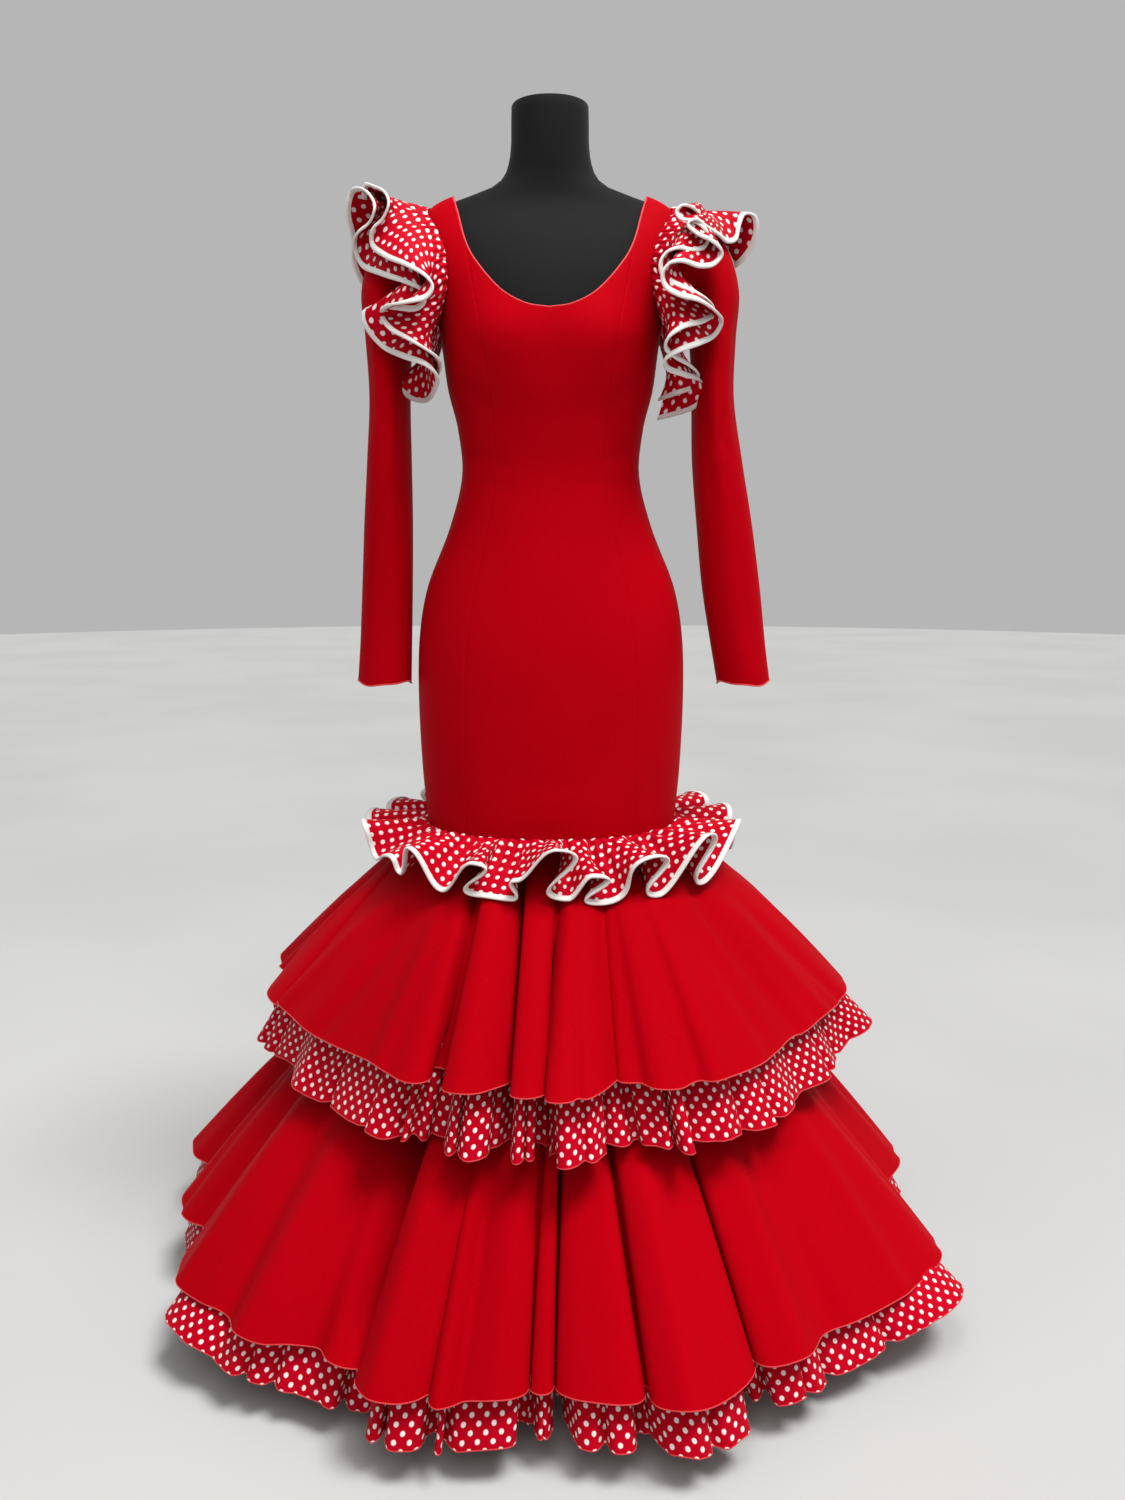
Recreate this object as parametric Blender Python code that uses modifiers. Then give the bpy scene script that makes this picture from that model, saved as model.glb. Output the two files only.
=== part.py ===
"""A fitted flamenco dress on a limbless dress form: every cut piece is its own closed wall of cloth.

Metres, +Z up. The floor is z = 0, the stand's axis is x = y = 0 and the front of the dress faces -Y.
A place on the body is (turn, height): turn 0 is the centre front, 90 degrees the left-hand side
seam at +X, and 180 the centre back.
"""

from collections import namedtuple
from math import acos, cos, degrees, exp, floor, hypot, pi, radians, sin, tau

import bmesh
import bpy
from mathutils import Matrix, Vector

# ---------------------------------------------------------------- driving sizes (metres, degrees)

PART_NAME = "flamenco_dress"

CLOTH = 0.0015  # wall of the plain crepe
RUFFLE_CLOTH = 0.0014  # wall of the dotted ruffles
BIAS_CLOTH = 0.0026  # folded bias binding, over the ruffle's edge
BIAS_WIDTH = 0.009
SEAM = 0.0003  # gap between pieces that are sewn together
BIAS_GAP = 0.0008  # gap between a ruffle's edge and its binding
FORM_INSET = 0.0050  # the form lies this far inside the cloth
FORM_TOUCH = 0.0012  # and this far at the waist, where the dress is fitted to it
FORM_DROP = 0.0030  # and its shoulders lie this far under the cloth

KNEE_SEAM = 0.624
WAIST = 1.100
UNDERARM = 1.293
NECK_CROSSING = 1.385  # the front princess seam runs into the neckline here
BACK_CROSSING = 1.405  # and the back one here
SQUARENESS = 0.92  # under 1 makes the body's section squarer than an ellipse

Section = namedtuple("Section", "height half_width front back")
BODY = [
    Section(0.560, 0.1710, 0.132, 0.134),
    Section(0.620, 0.1725, 0.133, 0.136),
    Section(0.700, 0.1790, 0.127, 0.139),
    Section(0.800, 0.1825, 0.121, 0.142),
    Section(0.880, 0.1805, 0.115, 0.139),
    Section(0.950, 0.1680, 0.107, 0.127),
    Section(1.030, 0.1360, 0.096, 0.103),
    Section(1.100, 0.1180, 0.089, 0.089),
    Section(1.160, 0.1225, 0.097, 0.093),
    Section(1.210, 0.1345, 0.109, 0.099),
    Section(1.263, 0.1415, 0.117, 0.103),
    Section(1.300, 0.1480, 0.114, 0.106),
    Section(1.350, 0.1650, 0.100, 0.103),
    Section(1.390, 0.1705, 0.081, 0.091),
    Section(1.418, 0.1670, 0.063, 0.075),
    Section(1.430, 0.1610, 0.055, 0.067),
    Section(1.441, 0.1470, 0.050, 0.062),
    Section(1.450, 0.1245, 0.048, 0.060),
    Section(1.458, 0.0955, 0.048, 0.059),
    Section(1.472, 0.0705, 0.048, 0.058),
    Section(1.490, 0.0600, 0.050, 0.056),
    Section(1.515, 0.0555, 0.052, 0.056),
    Section(1.540, 0.0550, 0.053, 0.056),
    Section(1.562, 0.0545, 0.053, 0.055),
]

CUP_HEIGHT = 1.262  # the princess cups
CUP_OUT = 0.075
CUP_RISE = 0.012
CUP_SPREAD = 0.052

# How far each princess seam lies from the centre, by height.
Seam = namedtuple("Seam", "height front_x back_x")
PRINCESS = [
    Seam(0.600, 0.112, 0.105),
    Seam(0.880, 0.108, 0.100),
    Seam(1.100, 0.071, 0.062),
    Seam(1.263, 0.084, 0.078),
    Seam(1.330, 0.096, 0.088),
    Seam(1.385, 0.106, 0.092),
    Seam(1.405, 0.107, 0.094),
    Seam(1.450, 0.110, 0.097),
]

# The neckline's edge, by distance from the centre.
Neck = namedtuple("Neck", "x front_height back_height")
NECKLINE = [
    Neck(0.000, 1.294, 1.392),
    Neck(0.030, 1.299, 1.393),
    Neck(0.061, 1.318, 1.397),
    Neck(0.094, 1.359, 1.405),
    Neck(0.106, 1.385, 1.418),
    Neck(0.116, 1.422, 1.434),
    Neck(0.1245, 1.450, 1.450),
]

# The armhole is an oval round the side, in turn and height.
ARMHOLE_HEIGHT = 1.3615
ARMHOLE_HALF_HEIGHT = 0.0685  # its lowest point is the underarm, its highest the shoulder
ARMHOLE_FRONT = 38.0
ARMHOLE_BACK = 36.0

# Where a side panel's rows meet its princess edge and its outer edge.
Row = namedtuple("Row", "inner outer")
SIDE_ROWS = [
    Row(0.6243, 0.6243),
    Row(0.700, 0.700),
    Row(0.800, 0.800),
    Row(0.880, 0.880),
    Row(0.950, 0.950),
    Row(1.030, 1.030),
    Row(1.100, 1.100),
    Row(1.160, 1.160),
    Row(1.210, 1.210),
    Row(1.250, 1.252),
    Row(1.285, UNDERARM),
    Row(1.312, 1.304),
    Row(1.345, 1.330),
    Row(1.385, 1.3615),
    Row(1.405, 1.393),
    Row(1.425, 1.413),
    Row(1.438, 1.424),
    Row(1.4495, 1.430),
]

# An empty sleeve: each ring's centre, its tilt (0 upright, 90 level), half its width across the
# arm from the body outwards, and half its depth front to back.
SLEEVE_HEAD_SCALE = 0.990  # the sleeve's head lies just inside the armhole
Cuff = namedtuple("Cuff", "x y z tilt half_width half_depth")
LEFT_SLEEVE = [
    Cuff(0.1770, 0.000, 1.3620, 8, 0.0630, 0.0600),
    Cuff(0.1990, 0.000, 1.3500, 32, 0.0520, 0.0590),
    Cuff(0.2120, 0.000, 1.3180, 62, 0.0400, 0.0580),
    Cuff(0.2150, 0.000, 1.2700, 84, 0.0300, 0.0580),
    Cuff(0.2165, 0.000, 1.2000, 90, 0.0275, 0.0600),
    Cuff(0.2240, -0.002, 1.1200, 90, 0.0330, 0.0560),
    Cuff(0.2350, -0.004, 1.0400, 90, 0.0370, 0.0500),
    Cuff(0.2462, -0.006, 0.9540, 90, 0.0392, 0.0440),
    Cuff(0.2570, -0.008, 0.8800, 90, 0.0375, 0.0400),
    Cuff(0.2665, -0.010, 0.8220, 90, 0.0360, 0.0370),
]
RIGHT_SLEEVE = [
    Cuff(0.1770, 0.000, 1.3620, 8, 0.0630, 0.0600),
    Cuff(0.1990, 0.000, 1.3500, 32, 0.0520, 0.0590),
    Cuff(0.2120, 0.000, 1.3180, 62, 0.0400, 0.0580),
    Cuff(0.2140, 0.000, 1.2700, 84, 0.0300, 0.0580),
    Cuff(0.2145, 0.000, 1.2000, 90, 0.0262, 0.0600),
    Cuff(0.2170, -0.002, 1.1200, 90, 0.0290, 0.0560),
    Cuff(0.2200, -0.004, 1.0400, 90, 0.0322, 0.0500),
    Cuff(0.2235, -0.006, 0.9540, 90, 0.0340, 0.0440),
    Cuff(0.2270, -0.008, 0.8800, 90, 0.0352, 0.0400),
    Cuff(0.2303, -0.010, 0.8220, 90, 0.0366, 0.0370),
]

# A ruffle's edge swings up over a crest and down into a dip. at and dip_at are places along the
# seam, rise and fall how far the edge stands off its middle line there. roll is how far the cloth
# folds back under itself on its way down from the crest, and lift on its way up from the dip.
Wave = namedtuple("Wave", "at rise dip_at fall roll lift")

KNEE_LENGTH = 0.088
KNEE_DROOP = 0.022
KNEE_LAP = 0.004  # the ruffle is laid over the seam and stitched this far above it
KNEE_FRONT_WAVES = [
    Wave(-78.0, 0.028, -69.0, 0.020, 1.5, 0.0),
    Wave(-54.0, -0.002, -49.5, 0.018, 0.6, 0.0),
    Wave(-42.5, 0.020, -32.0, 0.027, 0.5, 0.0),
    Wave(-20.5, 0.010, -15.0, 0.030, 5.2, 3.4),
    Wave(1.4, 0.033, 4.6, 0.029, 4.4, 0.0),
    Wave(10.8, -0.004, 14.2, 0.036, 4.2, 2.4),
    Wave(29.4, 0.016, 32.6, 0.034, 3.8, 0.0),
    Wave(49.4, 0.034, 52.6, 0.033, 4.0, 0.0),
    Wave(78.0, 0.028, 90.0, 0.026, 2.5, 2.0),
]
KNEE_BACK_WAVES = 9

# Shoulder ruffles: the angle goes round the armhole, 0 at the shoulder, 90 at the front and -90
# at the back. out, forward and up point from the seam to the ruffle's edge.
Lie = namedtuple("Lie", "around out forward up length")
SHOULDER_LIE = [
    Lie(-172, 0.26, -0.46, -0.88, 0.094),
    Lie(-130, 0.44, -0.78, -0.50, 0.094),
    Lie(-90, 0.55, -0.82, -0.15, 0.096),
    Lie(-45, 0.84, -0.45, 0.04, 0.098),
    Lie(0, 0.96, 0.00, 0.18, 0.100),
    Lie(45, 0.80, 0.58, 0.00, 0.098),
    Lie(90, 0.50, 0.86, -0.26, 0.094),
    Lie(130, 0.38, 0.72, -0.70, 0.097),
    Lie(172, 0.26, 0.36, -0.96, 0.104),
]
LEFT_SHOULDER_WAVES = [
    Wave(178, 0.000, 164, 0.012, 0.0, 0.0),
    Wave(148, 0.028, 122, 0.038, 3.0, 3.0),
    Wave(99, 0.034, 76, 0.034, 4.0, 4.0),
    Wave(46, 0.020, 22, 0.024, 4.0, 2.0),
    Wave(-4, 0.020, -34, 0.022, 2.0, 2.0),
    Wave(-68, 0.022, -106, 0.022, 3.0, 2.0),
]
RIGHT_SHOULDER_WAVES = [
    Wave(176, 0.000, 164, 0.006, 0.0, 0.0),
    Wave(146, 0.032, 120, 0.034, 3.0, 3.0),
    Wave(98, 0.040, 60, 0.032, 4.0, 3.0),
    Wave(36, 0.014, 14, 0.022, 3.0, 2.0),
    Wave(-8, 0.020, -36, 0.022, 2.0, 2.0),
    Wave(-68, 0.022, -106, 0.022, 3.0, 2.0),
]
SHOULDER_END = -146.0
RUFFLE_LENGTH = 0.096  # of a shoulder ruffle, for its binding's share
ROOT_PACE = 0.0014  # metres along a shoulder ruffle's seam to a degree round the armhole
EDGE_PACE = 0.0024  # and along its edge
LOWER_ROOT = 1.035  # the lower layer is sewn on just outside the armhole, as a share of it
UPPER_ROOT = 1.120  # and the upper layer a little further out
ROOT_STANDOFF = 0.0030
LAYER_GAP = 0.011  # the two layers' edges wave this far apart
COLUMNS = 4  # a ruffle's mesh has this many columns to each half of a wave
STEPS = 4  # and its path is reckoned this much finer

# Flounces: the hem's mean radius and height round the dress.
Hem = namedtuple("Hem", "turn radius height")
UPPER_HEM = [
    Hem(-180, 0.400, 0.392),
    Hem(-120, 0.425, 0.394),
    Hem(-85, 0.405, 0.395),
    Hem(-50, 0.374, 0.395),
    Hem(-15, 0.388, 0.393),
    Hem(25, 0.396, 0.393),
    Hem(60, 0.392, 0.395),
    Hem(85, 0.418, 0.395),
    Hem(120, 0.420, 0.394),
]
LOWER_HEM = [
    Hem(-180, 0.535, 0.100),
    Hem(-120, 0.545, 0.100),
    Hem(-92, 0.548, 0.100),
    Hem(-57, 0.548, 0.100),
    Hem(-22, 0.522, 0.100),
    Hem(0, 0.500, 0.100),
    Hem(20, 0.532, 0.100),
    Hem(64, 0.560, 0.100),
    Hem(92, 0.525, 0.100),
    Hem(130, 0.540, 0.100),
]

# A fold is a trough that runs down the flounce: its middle and half its width in degrees, its
# depth at the hem, how far its bottom leans sideways and how far its mouth closes, in degrees.
Fold = namedtuple("Fold", "turn depth half_width lean pinch")
UPPER_FOLDS = [
    Fold(-168, 0.030, 6.0, 0.8, 0.8),
    Fold(-149, 0.024, 6.5, 0.0, 0.5),
    Fold(-129, 0.034, 6.0, -0.8, 1.0),
    Fold(-107, 0.030, 6.0, 0.6, 0.8),
    Fold(-87, 0.026, 5.0, -0.6, 0.6),
    Fold(-62, 0.010, 8.0, 0.0, 0.0),
    Fold(-40, 0.008, 7.0, 0.0, 0.0),
    Fold(-22, 0.056, 5.0, -1.4, 1.4),
    Fold(-7.5, 0.034, 3.6, 0.8, 0.8),
    Fold(-0.4, 0.016, 2.6, 0.0, 0.3),
    Fold(13.5, 0.038, 5.5, 0.0, 0.4),
    Fold(27, 0.015, 3.2, 0.4, 0.3),
    Fold(49, 0.010, 8.0, 0.0, 0.0),
    Fold(72, 0.012, 7.0, 0.0, 0.0),
    Fold(97, 0.032, 6.0, 0.6, 0.8),
    Fold(118, 0.026, 6.0, -0.4, 0.8),
    Fold(137, 0.034, 6.5, 0.8, 1.0),
    Fold(157, 0.026, 6.0, 0.0, 0.6),
    Fold(175, 0.032, 6.0, -0.6, 0.8),
]
LOWER_FOLDS = [
    Fold(-170, 0.040, 6.0, 0.6, 0.8),
    Fold(-147, 0.032, 6.5, 0.0, 0.5),
    Fold(-126, 0.044, 6.0, -0.6, 0.9),
    Fold(-107, 0.030, 5.0, 0.5, 0.6),
    Fold(-87, 0.040, 5.5, 0.0, 0.6),
    Fold(-68, 0.046, 6.5, 0.4, 0.8),
    Fold(-46, 0.012, 5.0, 0.0, 0.0),
    Fold(-33, 0.026, 4.5, 0.0, 0.2),
    Fold(-24.5, 0.040, 3.6, -0.8, 0.9),
    Fold(-11, 0.014, 4.5, 0.5, 0.2),
    Fold(0, 0.024, 5.5, 0.0, 0.6),
    Fold(10, 0.012, 4.0, 0.0, 0.2),
    Fold(28, 0.032, 4.6, 0.6, 0.8),
    Fold(40, 0.020, 4.5, 0.0, 0.2),
    Fold(54, 0.010, 6.0, 0.0, 0.0),
    Fold(80, 0.044, 7.0, 0.5, 0.8),
    Fold(103, 0.036, 6.0, -0.5, 0.8),
    Fold(124, 0.042, 6.5, 0.5, 0.8),
    Fold(147, 0.034, 6.0, 0.0, 0.6),
    Fold(168, 0.040, 6.0, -0.5, 0.8),
]
FOLD_FADE = 1.25  # how quickly a fold deepens from the seam to the hem
UPPER_BULGE = 0.006  # how far the flounce arches out above a straight cone
LOWER_BULGE = 0.006
FLOUNCE_ROWS = [0.0, 0.25, 0.55, 1.0]

BASE_SKIRT_RADIUS = 0.250
BASE_SKIRT_HEIGHT = 0.412

# Dotted ruffles under the flounces: where they are sewn on, as a share of the flounce's length,
# how far inside, their own length, their pleats, and how far they spread outwards.
Under = namedtuple("Under", "sewn_at inside length pleats pleat_depth spread")
UPPER_UNDER = Under(0.84, 0.0088, 0.118, 46, 0.0075, 0.44)
LOWER_UNDER = Under(0.88, 0.0064, 0.094, 50, 0.0080, 0.36)

POLE_RADIUS = 0.014
BASE_RADIUS = 0.170
BASE_THICKNESS = 0.009
COLLAR_RADIUS = 0.026
COLLAR_HEIGHT = 0.040
FORM_BOTTOM = 0.740

ZIP_HEIGHT = 1.378  # the slider's middle, below the back neckline
ZIP_STANDOFF = 0.0006

# ---------------------------------------------------------------- curves through the tables


def cubic(a, b, c, d, x0, x1, x2, x3, x):
    """The height at x of a smooth curve through (x0, a) ... (x3, d), between x1 and x2."""
    span = x2 - x1
    s = (x - x1) / span
    slope_1 = (c - a) / (x2 - x0) * span if x2 > x0 else 0.0
    slope_2 = (d - b) / (x3 - x1) * span if x3 > x1 else 0.0
    return (
        b * (1 + 2 * s) * (1 - s) ** 2
        + slope_1 * s * (1 - s) ** 2
        + c * s * s * (3 - 2 * s)
        + slope_2 * s * s * (s - 1)
    )


def through(rows, key, value, at):
    """One column of a table, read smoothly at any place along another column."""
    places = [getattr(row, key) for row in rows]
    values = [getattr(row, value) for row in rows]
    if at <= places[0]:
        return values[0]
    if at >= places[-1]:
        return values[-1]
    i = max(k for k in range(len(places) - 1) if places[k] <= at)
    before = max(i - 1, 0)
    after = min(i + 2, len(places) - 1)
    return cubic(
        values[before], values[i], values[i + 1], values[after],
        places[before], places[i], places[i + 1], places[after], at,
    )


def around(rows, value, turn):
    """A column of a table that goes once round the dress, read smoothly at any turn."""
    count = len(rows)
    places = [row.turn for row in rows]
    turn = places[0] + (turn - places[0]) % 360
    i = max(k for k in range(count) if places[k] <= turn)
    picks = [i - 1, i, i + 1, i + 2]
    at = [places[k % count] + 360 * (k // count) for k in picks]
    got = [getattr(rows[k % count], value) for k in picks]
    return cubic(*got, *at, turn)


def mix(a, b, share):
    return a + (b - a) * share


# ---------------------------------------------------------------- the body's surface


def signed_power(value, power):
    return abs(value) ** power * (1 if value >= 0 else -1)


def body_point(turn, height, out=0.0, cups=True):
    """A point of the cloth's inner face, or out metres off it. turn is in degrees."""
    half_width = through(BODY, "height", "half_width", height) + out
    front = through(BODY, "height", "front", height) + out
    back = through(BODY, "height", "back", height) + out
    side = signed_power(sin(radians(turn)), SQUARENESS)
    ahead = signed_power(cos(radians(turn)), SQUARENESS)
    x = half_width * side
    y = -ahead * (front if ahead > 0 else back)
    if cups and ahead > 0:
        rise = (height - CUP_HEIGHT) / CUP_SPREAD
        off = (abs(x) - CUP_OUT) / CUP_SPREAD
        y -= CUP_RISE * exp(-rise * rise - off * off) * min(1.0, ahead * 3)
    return Vector((x, y, height))


def turn_at(x, height, back=False):
    """The turn where the body's surface is x metres from the centre plane."""
    half_width = through(BODY, "height", "half_width", height)
    share = min(1.0, abs(x) / half_width) ** (1 / SQUARENESS)
    low, high = 0.0, 90.0
    for _ in range(40):
        middle = (low + high) / 2
        low, high = (middle, high) if sin(radians(middle)) < share else (low, middle)
    turn = (low + high) / 2
    return 180 - turn if back else turn


def princess_turn(height, back=False):
    x = through(PRINCESS, "height", "back_x" if back else "front_x", height)
    return turn_at(x, height, back)


def neck_height(x, back=False):
    return through(NECKLINE, "x", "back_height" if back else "front_height", min(abs(x), 0.1245))


def neck_turn(height, back=False):
    """The turn of the neckline's edge where it passes a height."""
    low, high = 0.0, NECKLINE[-1].x
    for _ in range(40):
        middle = (low + high) / 2
        low, high = (middle, high) if neck_height(middle, back) < height else (low, middle)
    return turn_at(low, height, back)


def armhole_turn(height, back=False):
    """The turn of the armhole's edge at a height, on the front or the back half."""
    off = (height - ARMHOLE_HEIGHT) / ARMHOLE_HALF_HEIGHT
    reach = max(0.0, 1 - off * off) ** 0.5
    return 90 + ARMHOLE_BACK * reach if back else 90 - ARMHOLE_FRONT * reach


def armhole_point(angle, scale=1.0, out=0.0):
    """A point beside the +X armhole. angle 0 is the shoulder, 90 the front, -90 the back."""
    height = ARMHOLE_HEIGHT + ARMHOLE_HALF_HEIGHT * scale * cos(radians(angle))
    reach = sin(radians(angle)) * scale
    turn = 90 - (ARMHOLE_FRONT if reach > 0 else ARMHOLE_BACK) * reach
    return body_point(turn, height, out)


# ---------------------------------------------------------------- objects and materials

for old in list(bpy.data.objects):
    bpy.data.objects.remove(old, do_unlink=True)

parts = bpy.data.collections.new(PART_NAME)
guides = bpy.data.collections.new("joining_guides")
bpy.context.scene.collection.children.link(parts)
bpy.context.scene.collection.children.link(guides)


def material(name, colour, roughness, metallic=0.0):
    """One Principled finish for a piece."""
    made = bpy.data.materials.new(name)
    made.use_nodes = True
    shader = made.node_tree.nodes["Principled BSDF"]
    shader.inputs["Base Color"].default_value = (*colour, 1.0)
    shader.inputs["Roughness"].default_value = roughness
    shader.inputs["Metallic"].default_value = metallic
    return made


RED = (0.62, 0.004, 0.012)
DOTTED = (0.60, 0.03, 0.05)
WHITE = (0.84, 0.80, 0.76)
BLACK = (0.012, 0.012, 0.013)
STEEL = (0.55, 0.55, 0.56)


def add_object(name, mesh, colour, roughness=0.7, metallic=0.0):
    piece = bpy.data.objects.new(name, mesh)
    piece.data.materials.append(material(name + "_finish", colour, roughness, metallic))
    parts.objects.link(piece)
    return piece


def grid_mesh(name, grid, closed=False):
    """A mesh through rows of points, each four split along its shorter diagonal. A closed grid
    joins its last column to its first."""
    shape = bmesh.new()
    rows = [[shape.verts.new(point) for point in row] for row in grid]
    columns = len(rows[0])
    for lower, upper in zip(rows, rows[1:]):
        for i in range(columns if closed else columns - 1):
            j = (i + 1) % columns
            a, b, c, d = lower[i], lower[j], upper[j], upper[i]
            if (a.co - c.co).length <= (b.co - d.co).length:
                shape.faces.new((a, b, c))
                shape.faces.new((a, c, d))
            else:
                shape.faces.new((a, b, d))
                shape.faces.new((b, c, d))
    for face in shape.faces:
        face.smooth = True
    mesh = bpy.data.meshes.new(name)
    shape.to_mesh(mesh)
    shape.free()
    return mesh


def cloth(name, grid, colour, wall, side, closed=False):
    """A wall of cloth on a grid. side 1 adds the wall outwards, -1 inwards and 0 both ways."""
    piece = add_object(name, grid_mesh(name, grid, closed), colour)
    solid = piece.modifiers.new("Wall", "SOLIDIFY")
    solid.thickness = wall
    solid.offset = side
    solid.use_even_offset = False
    solid.use_rim = True
    return piece


def mirrored(grid):
    """The grid on the other side of the dress, turned so that its faces still point out."""
    return [[Vector((-p.x, p.y, p.z)) for p in reversed(row)] for row in grid]


# ---------------------------------------------------------------- bodice and skirt panels


def seam_turn(height, turn):
    """Half the seam gap, as a turn at this place on the body."""
    return degrees(SEAM * 0.6 / hypot(*body_point(turn, height).xy))


def panel_levels(top):
    """The rows of a centre panel, as shares of its height: the side panel's rows, so that the
    two edges of a princess seam bend at the same places."""
    bottom = SIDE_ROWS[0].inner
    return [(row.inner - bottom) / (top - bottom) for row in SIDE_ROWS if row.inner <= top]


def front_panel_grid(columns=7):
    rows = panel_levels(NECK_CROSSING)
    tops = []
    for i in range(columns):
        share = 2 * i / (columns - 1) - 1
        height = NECK_CROSSING
        for _ in range(30):
            x = body_point(share * princess_turn(height), height).x
            height = mix(height, neck_height(x), 0.5)
        tops.append((share, height))
    grid = []
    for level in rows:
        row = []
        for share, top in tops:
            height = mix(SIDE_ROWS[0].inner, top, level)
            edge = princess_turn(height)
            edge -= seam_turn(height, edge)
            row.append(body_point(share * edge, height))
        grid.append(row)
    return grid


def back_panel_grid(columns=5):
    """The +X half of the back, from the princess seam to the centre back zip."""
    rows = panel_levels(BACK_CROSSING)
    tops = []
    for i in range(columns):
        share = i / (columns - 1)
        height = BACK_CROSSING
        for _ in range(30):
            turn = mix(princess_turn(height, True), 180, share)
            height = mix(height, neck_height(body_point(turn, height).x, True), 0.5)
        tops.append((share, height))
    grid = []
    for level in rows:
        row = []
        for share, top in tops:
            height = mix(SIDE_ROWS[0].inner, top, level)
            start = princess_turn(height, True)
            gap = seam_turn(height, start)
            row.append(body_point(mix(start + gap, 180 - gap, share), height))
        grid.append(row)
    return grid


def side_panel_grid(back, columns=5):
    """A +X side panel: princess seam and neckline on its inner edge, side seam and armhole on
    its outer edge, and the shoulder seam across its top."""
    crossing = BACK_CROSSING if back else NECK_CROSSING
    away = 1 if back else -1
    grid = []
    for row in SIDE_ROWS:
        inner = princess_turn(row.inner, back) if row.inner <= crossing else neck_turn(row.inner, back)
        if row.inner <= crossing:
            inner -= away * seam_turn(row.inner, inner)
        outer = 90 if row.outer <= UNDERARM else armhole_turn(row.outer, back)
        outer += away * seam_turn(row.outer, outer)
        points = []
        for i in range(columns):
            share = i / (columns - 1)
            turn = mix(inner, outer, share)
            height = mix(row.inner, row.outer, share)
            if abs(turn - 90) < 1:
                turn = 90 + away * seam_turn(height, 90)
            points.append(body_point(turn, height))
        grid.append(list(reversed(points)) if back else points)
    return grid


def make_panels():
    cloth("front_panel", front_panel_grid(), RED, CLOTH, 1)
    back = back_panel_grid()
    cloth("back_left", back, RED, CLOTH, 1)
    cloth("back_right", mirrored(back), RED, CLOTH, 1)
    for name, is_back in (("side_front", False), ("side_back", True)):
        grid = side_panel_grid(is_back)
        cloth(name + "_left", grid, RED, CLOTH, 1)
        cloth(name + "_right", mirrored(grid), RED, CLOTH, 1)


# ---------------------------------------------------------------- sleeves


def armhole_angles():
    """The angles round the armhole where the side panels' edges have a corner."""
    down = []
    for row in SIDE_ROWS:
        if row.outer >= UNDERARM:
            off = (row.outer - ARMHOLE_HEIGHT) / ARMHOLE_HALF_HEIGHT
            down.append(degrees(acos(max(-1.0, min(1.0, off)))))
    down.sort()
    return down + [360 - angle for angle in reversed(down[1:-1])]


def sleeve_grid(rings):
    """A hanging sleeve from the armhole to the cuff, on the +X side."""
    angles = armhole_angles()
    grid = [[armhole_point(angle, SLEEVE_HEAD_SCALE) for angle in angles]]
    for ring in rings:
        across = Vector((sin(radians(ring.tilt)), 0, cos(radians(ring.tilt))))
        row = []
        for angle in map(radians, angles):
            point = Vector((ring.x, ring.y, ring.z)) + across * (ring.half_width * cos(angle))
            point.y -= ring.half_depth * sin(angle)
            row.append(point)
        grid.append(row)
    return grid


def make_sleeves():
    cloth("sleeve_left", sleeve_grid(LEFT_SLEEVE), RED, CLOTH, -1, closed=True)
    right = mirrored(sleeve_grid(RIGHT_SLEEVE))
    cloth("sleeve_right", right, RED, CLOTH, -1, closed=True)


# ---------------------------------------------------------------- ruffles with waving edges


def wave_path(waves, steps, end, end_off=0.0):
    """A ruffle's waves, in equal steps to each half of a wave: (seam place, edge place, offset).
    The path ends at the place end on the seam."""
    turns = []
    for wave in waves:
        turns.append((wave.at, wave.rise, wave.roll))
        turns.append((wave.dip_at, -wave.fall, wave.lift))
    turns.append((end, end_off, 0.0))
    path = []
    for (at, off, roll), (next_at, next_off, _) in zip(turns, turns[1:]):
        ahead = roll if next_at > at else -roll
        for k in range(steps):
            share = k / steps
            seam = mix(at, next_at, share)
            edge = seam + ahead * sin(tau * share)
            path.append((seam, edge, mix(off, next_off, (1 - cos(pi * share)) / 2)))
    path.append((end, end, end_off))
    return path


def row_path(path, share, gap=0.0, pace=1.0):
    """A ruffle's path part of the way from its seam to its edge, as (place, offset) pairs. gap
    moves it sideways, off its own line. pace is metres along the line to a degree."""
    line = [(mix(seam, edge, share**2.3), off * share**0.9) for seam, edge, off in path]
    moved = []
    for i, (place, off) in enumerate(line):
        before = line[max(i - 1, 0)]
        after = line[min(i + 1, len(line) - 1)]
        along = (after[0] - before[0]) * pace
        across = after[1] - before[1]
        size = hypot(along, across)
        moved.append((place - across / size * gap / pace, off + along / size * gap))
    return moved


def ruffle_grid(path, every, lie, spans, gap=0.0):
    """Rows of points across a ruffle, on every few points of its path. lie(place) gives the seam
    point, the unit way to the edge, the unit way of the waves and the length. spans are shares
    of the length."""
    grid = []
    for share in spans:
        row = []
        pace = mix(ROOT_PACE, EDGE_PACE, share)
        for place, off in row_path(path, share, gap * share, pace)[::every]:
            root, way, across, length = lie(place)
            row.append(root + way * (length * share) + across * off)
        grid.append(row)
    return grid


def knee_waves():
    """The front waves, and even ones round the back."""
    waves = list(KNEE_FRONT_WAVES)
    start = KNEE_FRONT_WAVES[-1].dip_at + 13
    end = KNEE_FRONT_WAVES[0].at + 360
    pitch = (end - start) / KNEE_BACK_WAVES
    for i in range(KNEE_BACK_WAVES):
        uneven = 1 + 0.18 * sin(2.3 * i)
        at = start + pitch * i
        waves.append(Wave(at, 0.026 * uneven, at + pitch * 0.42, 0.026 / uneven, 5.0, 3.0))
    return waves


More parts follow.
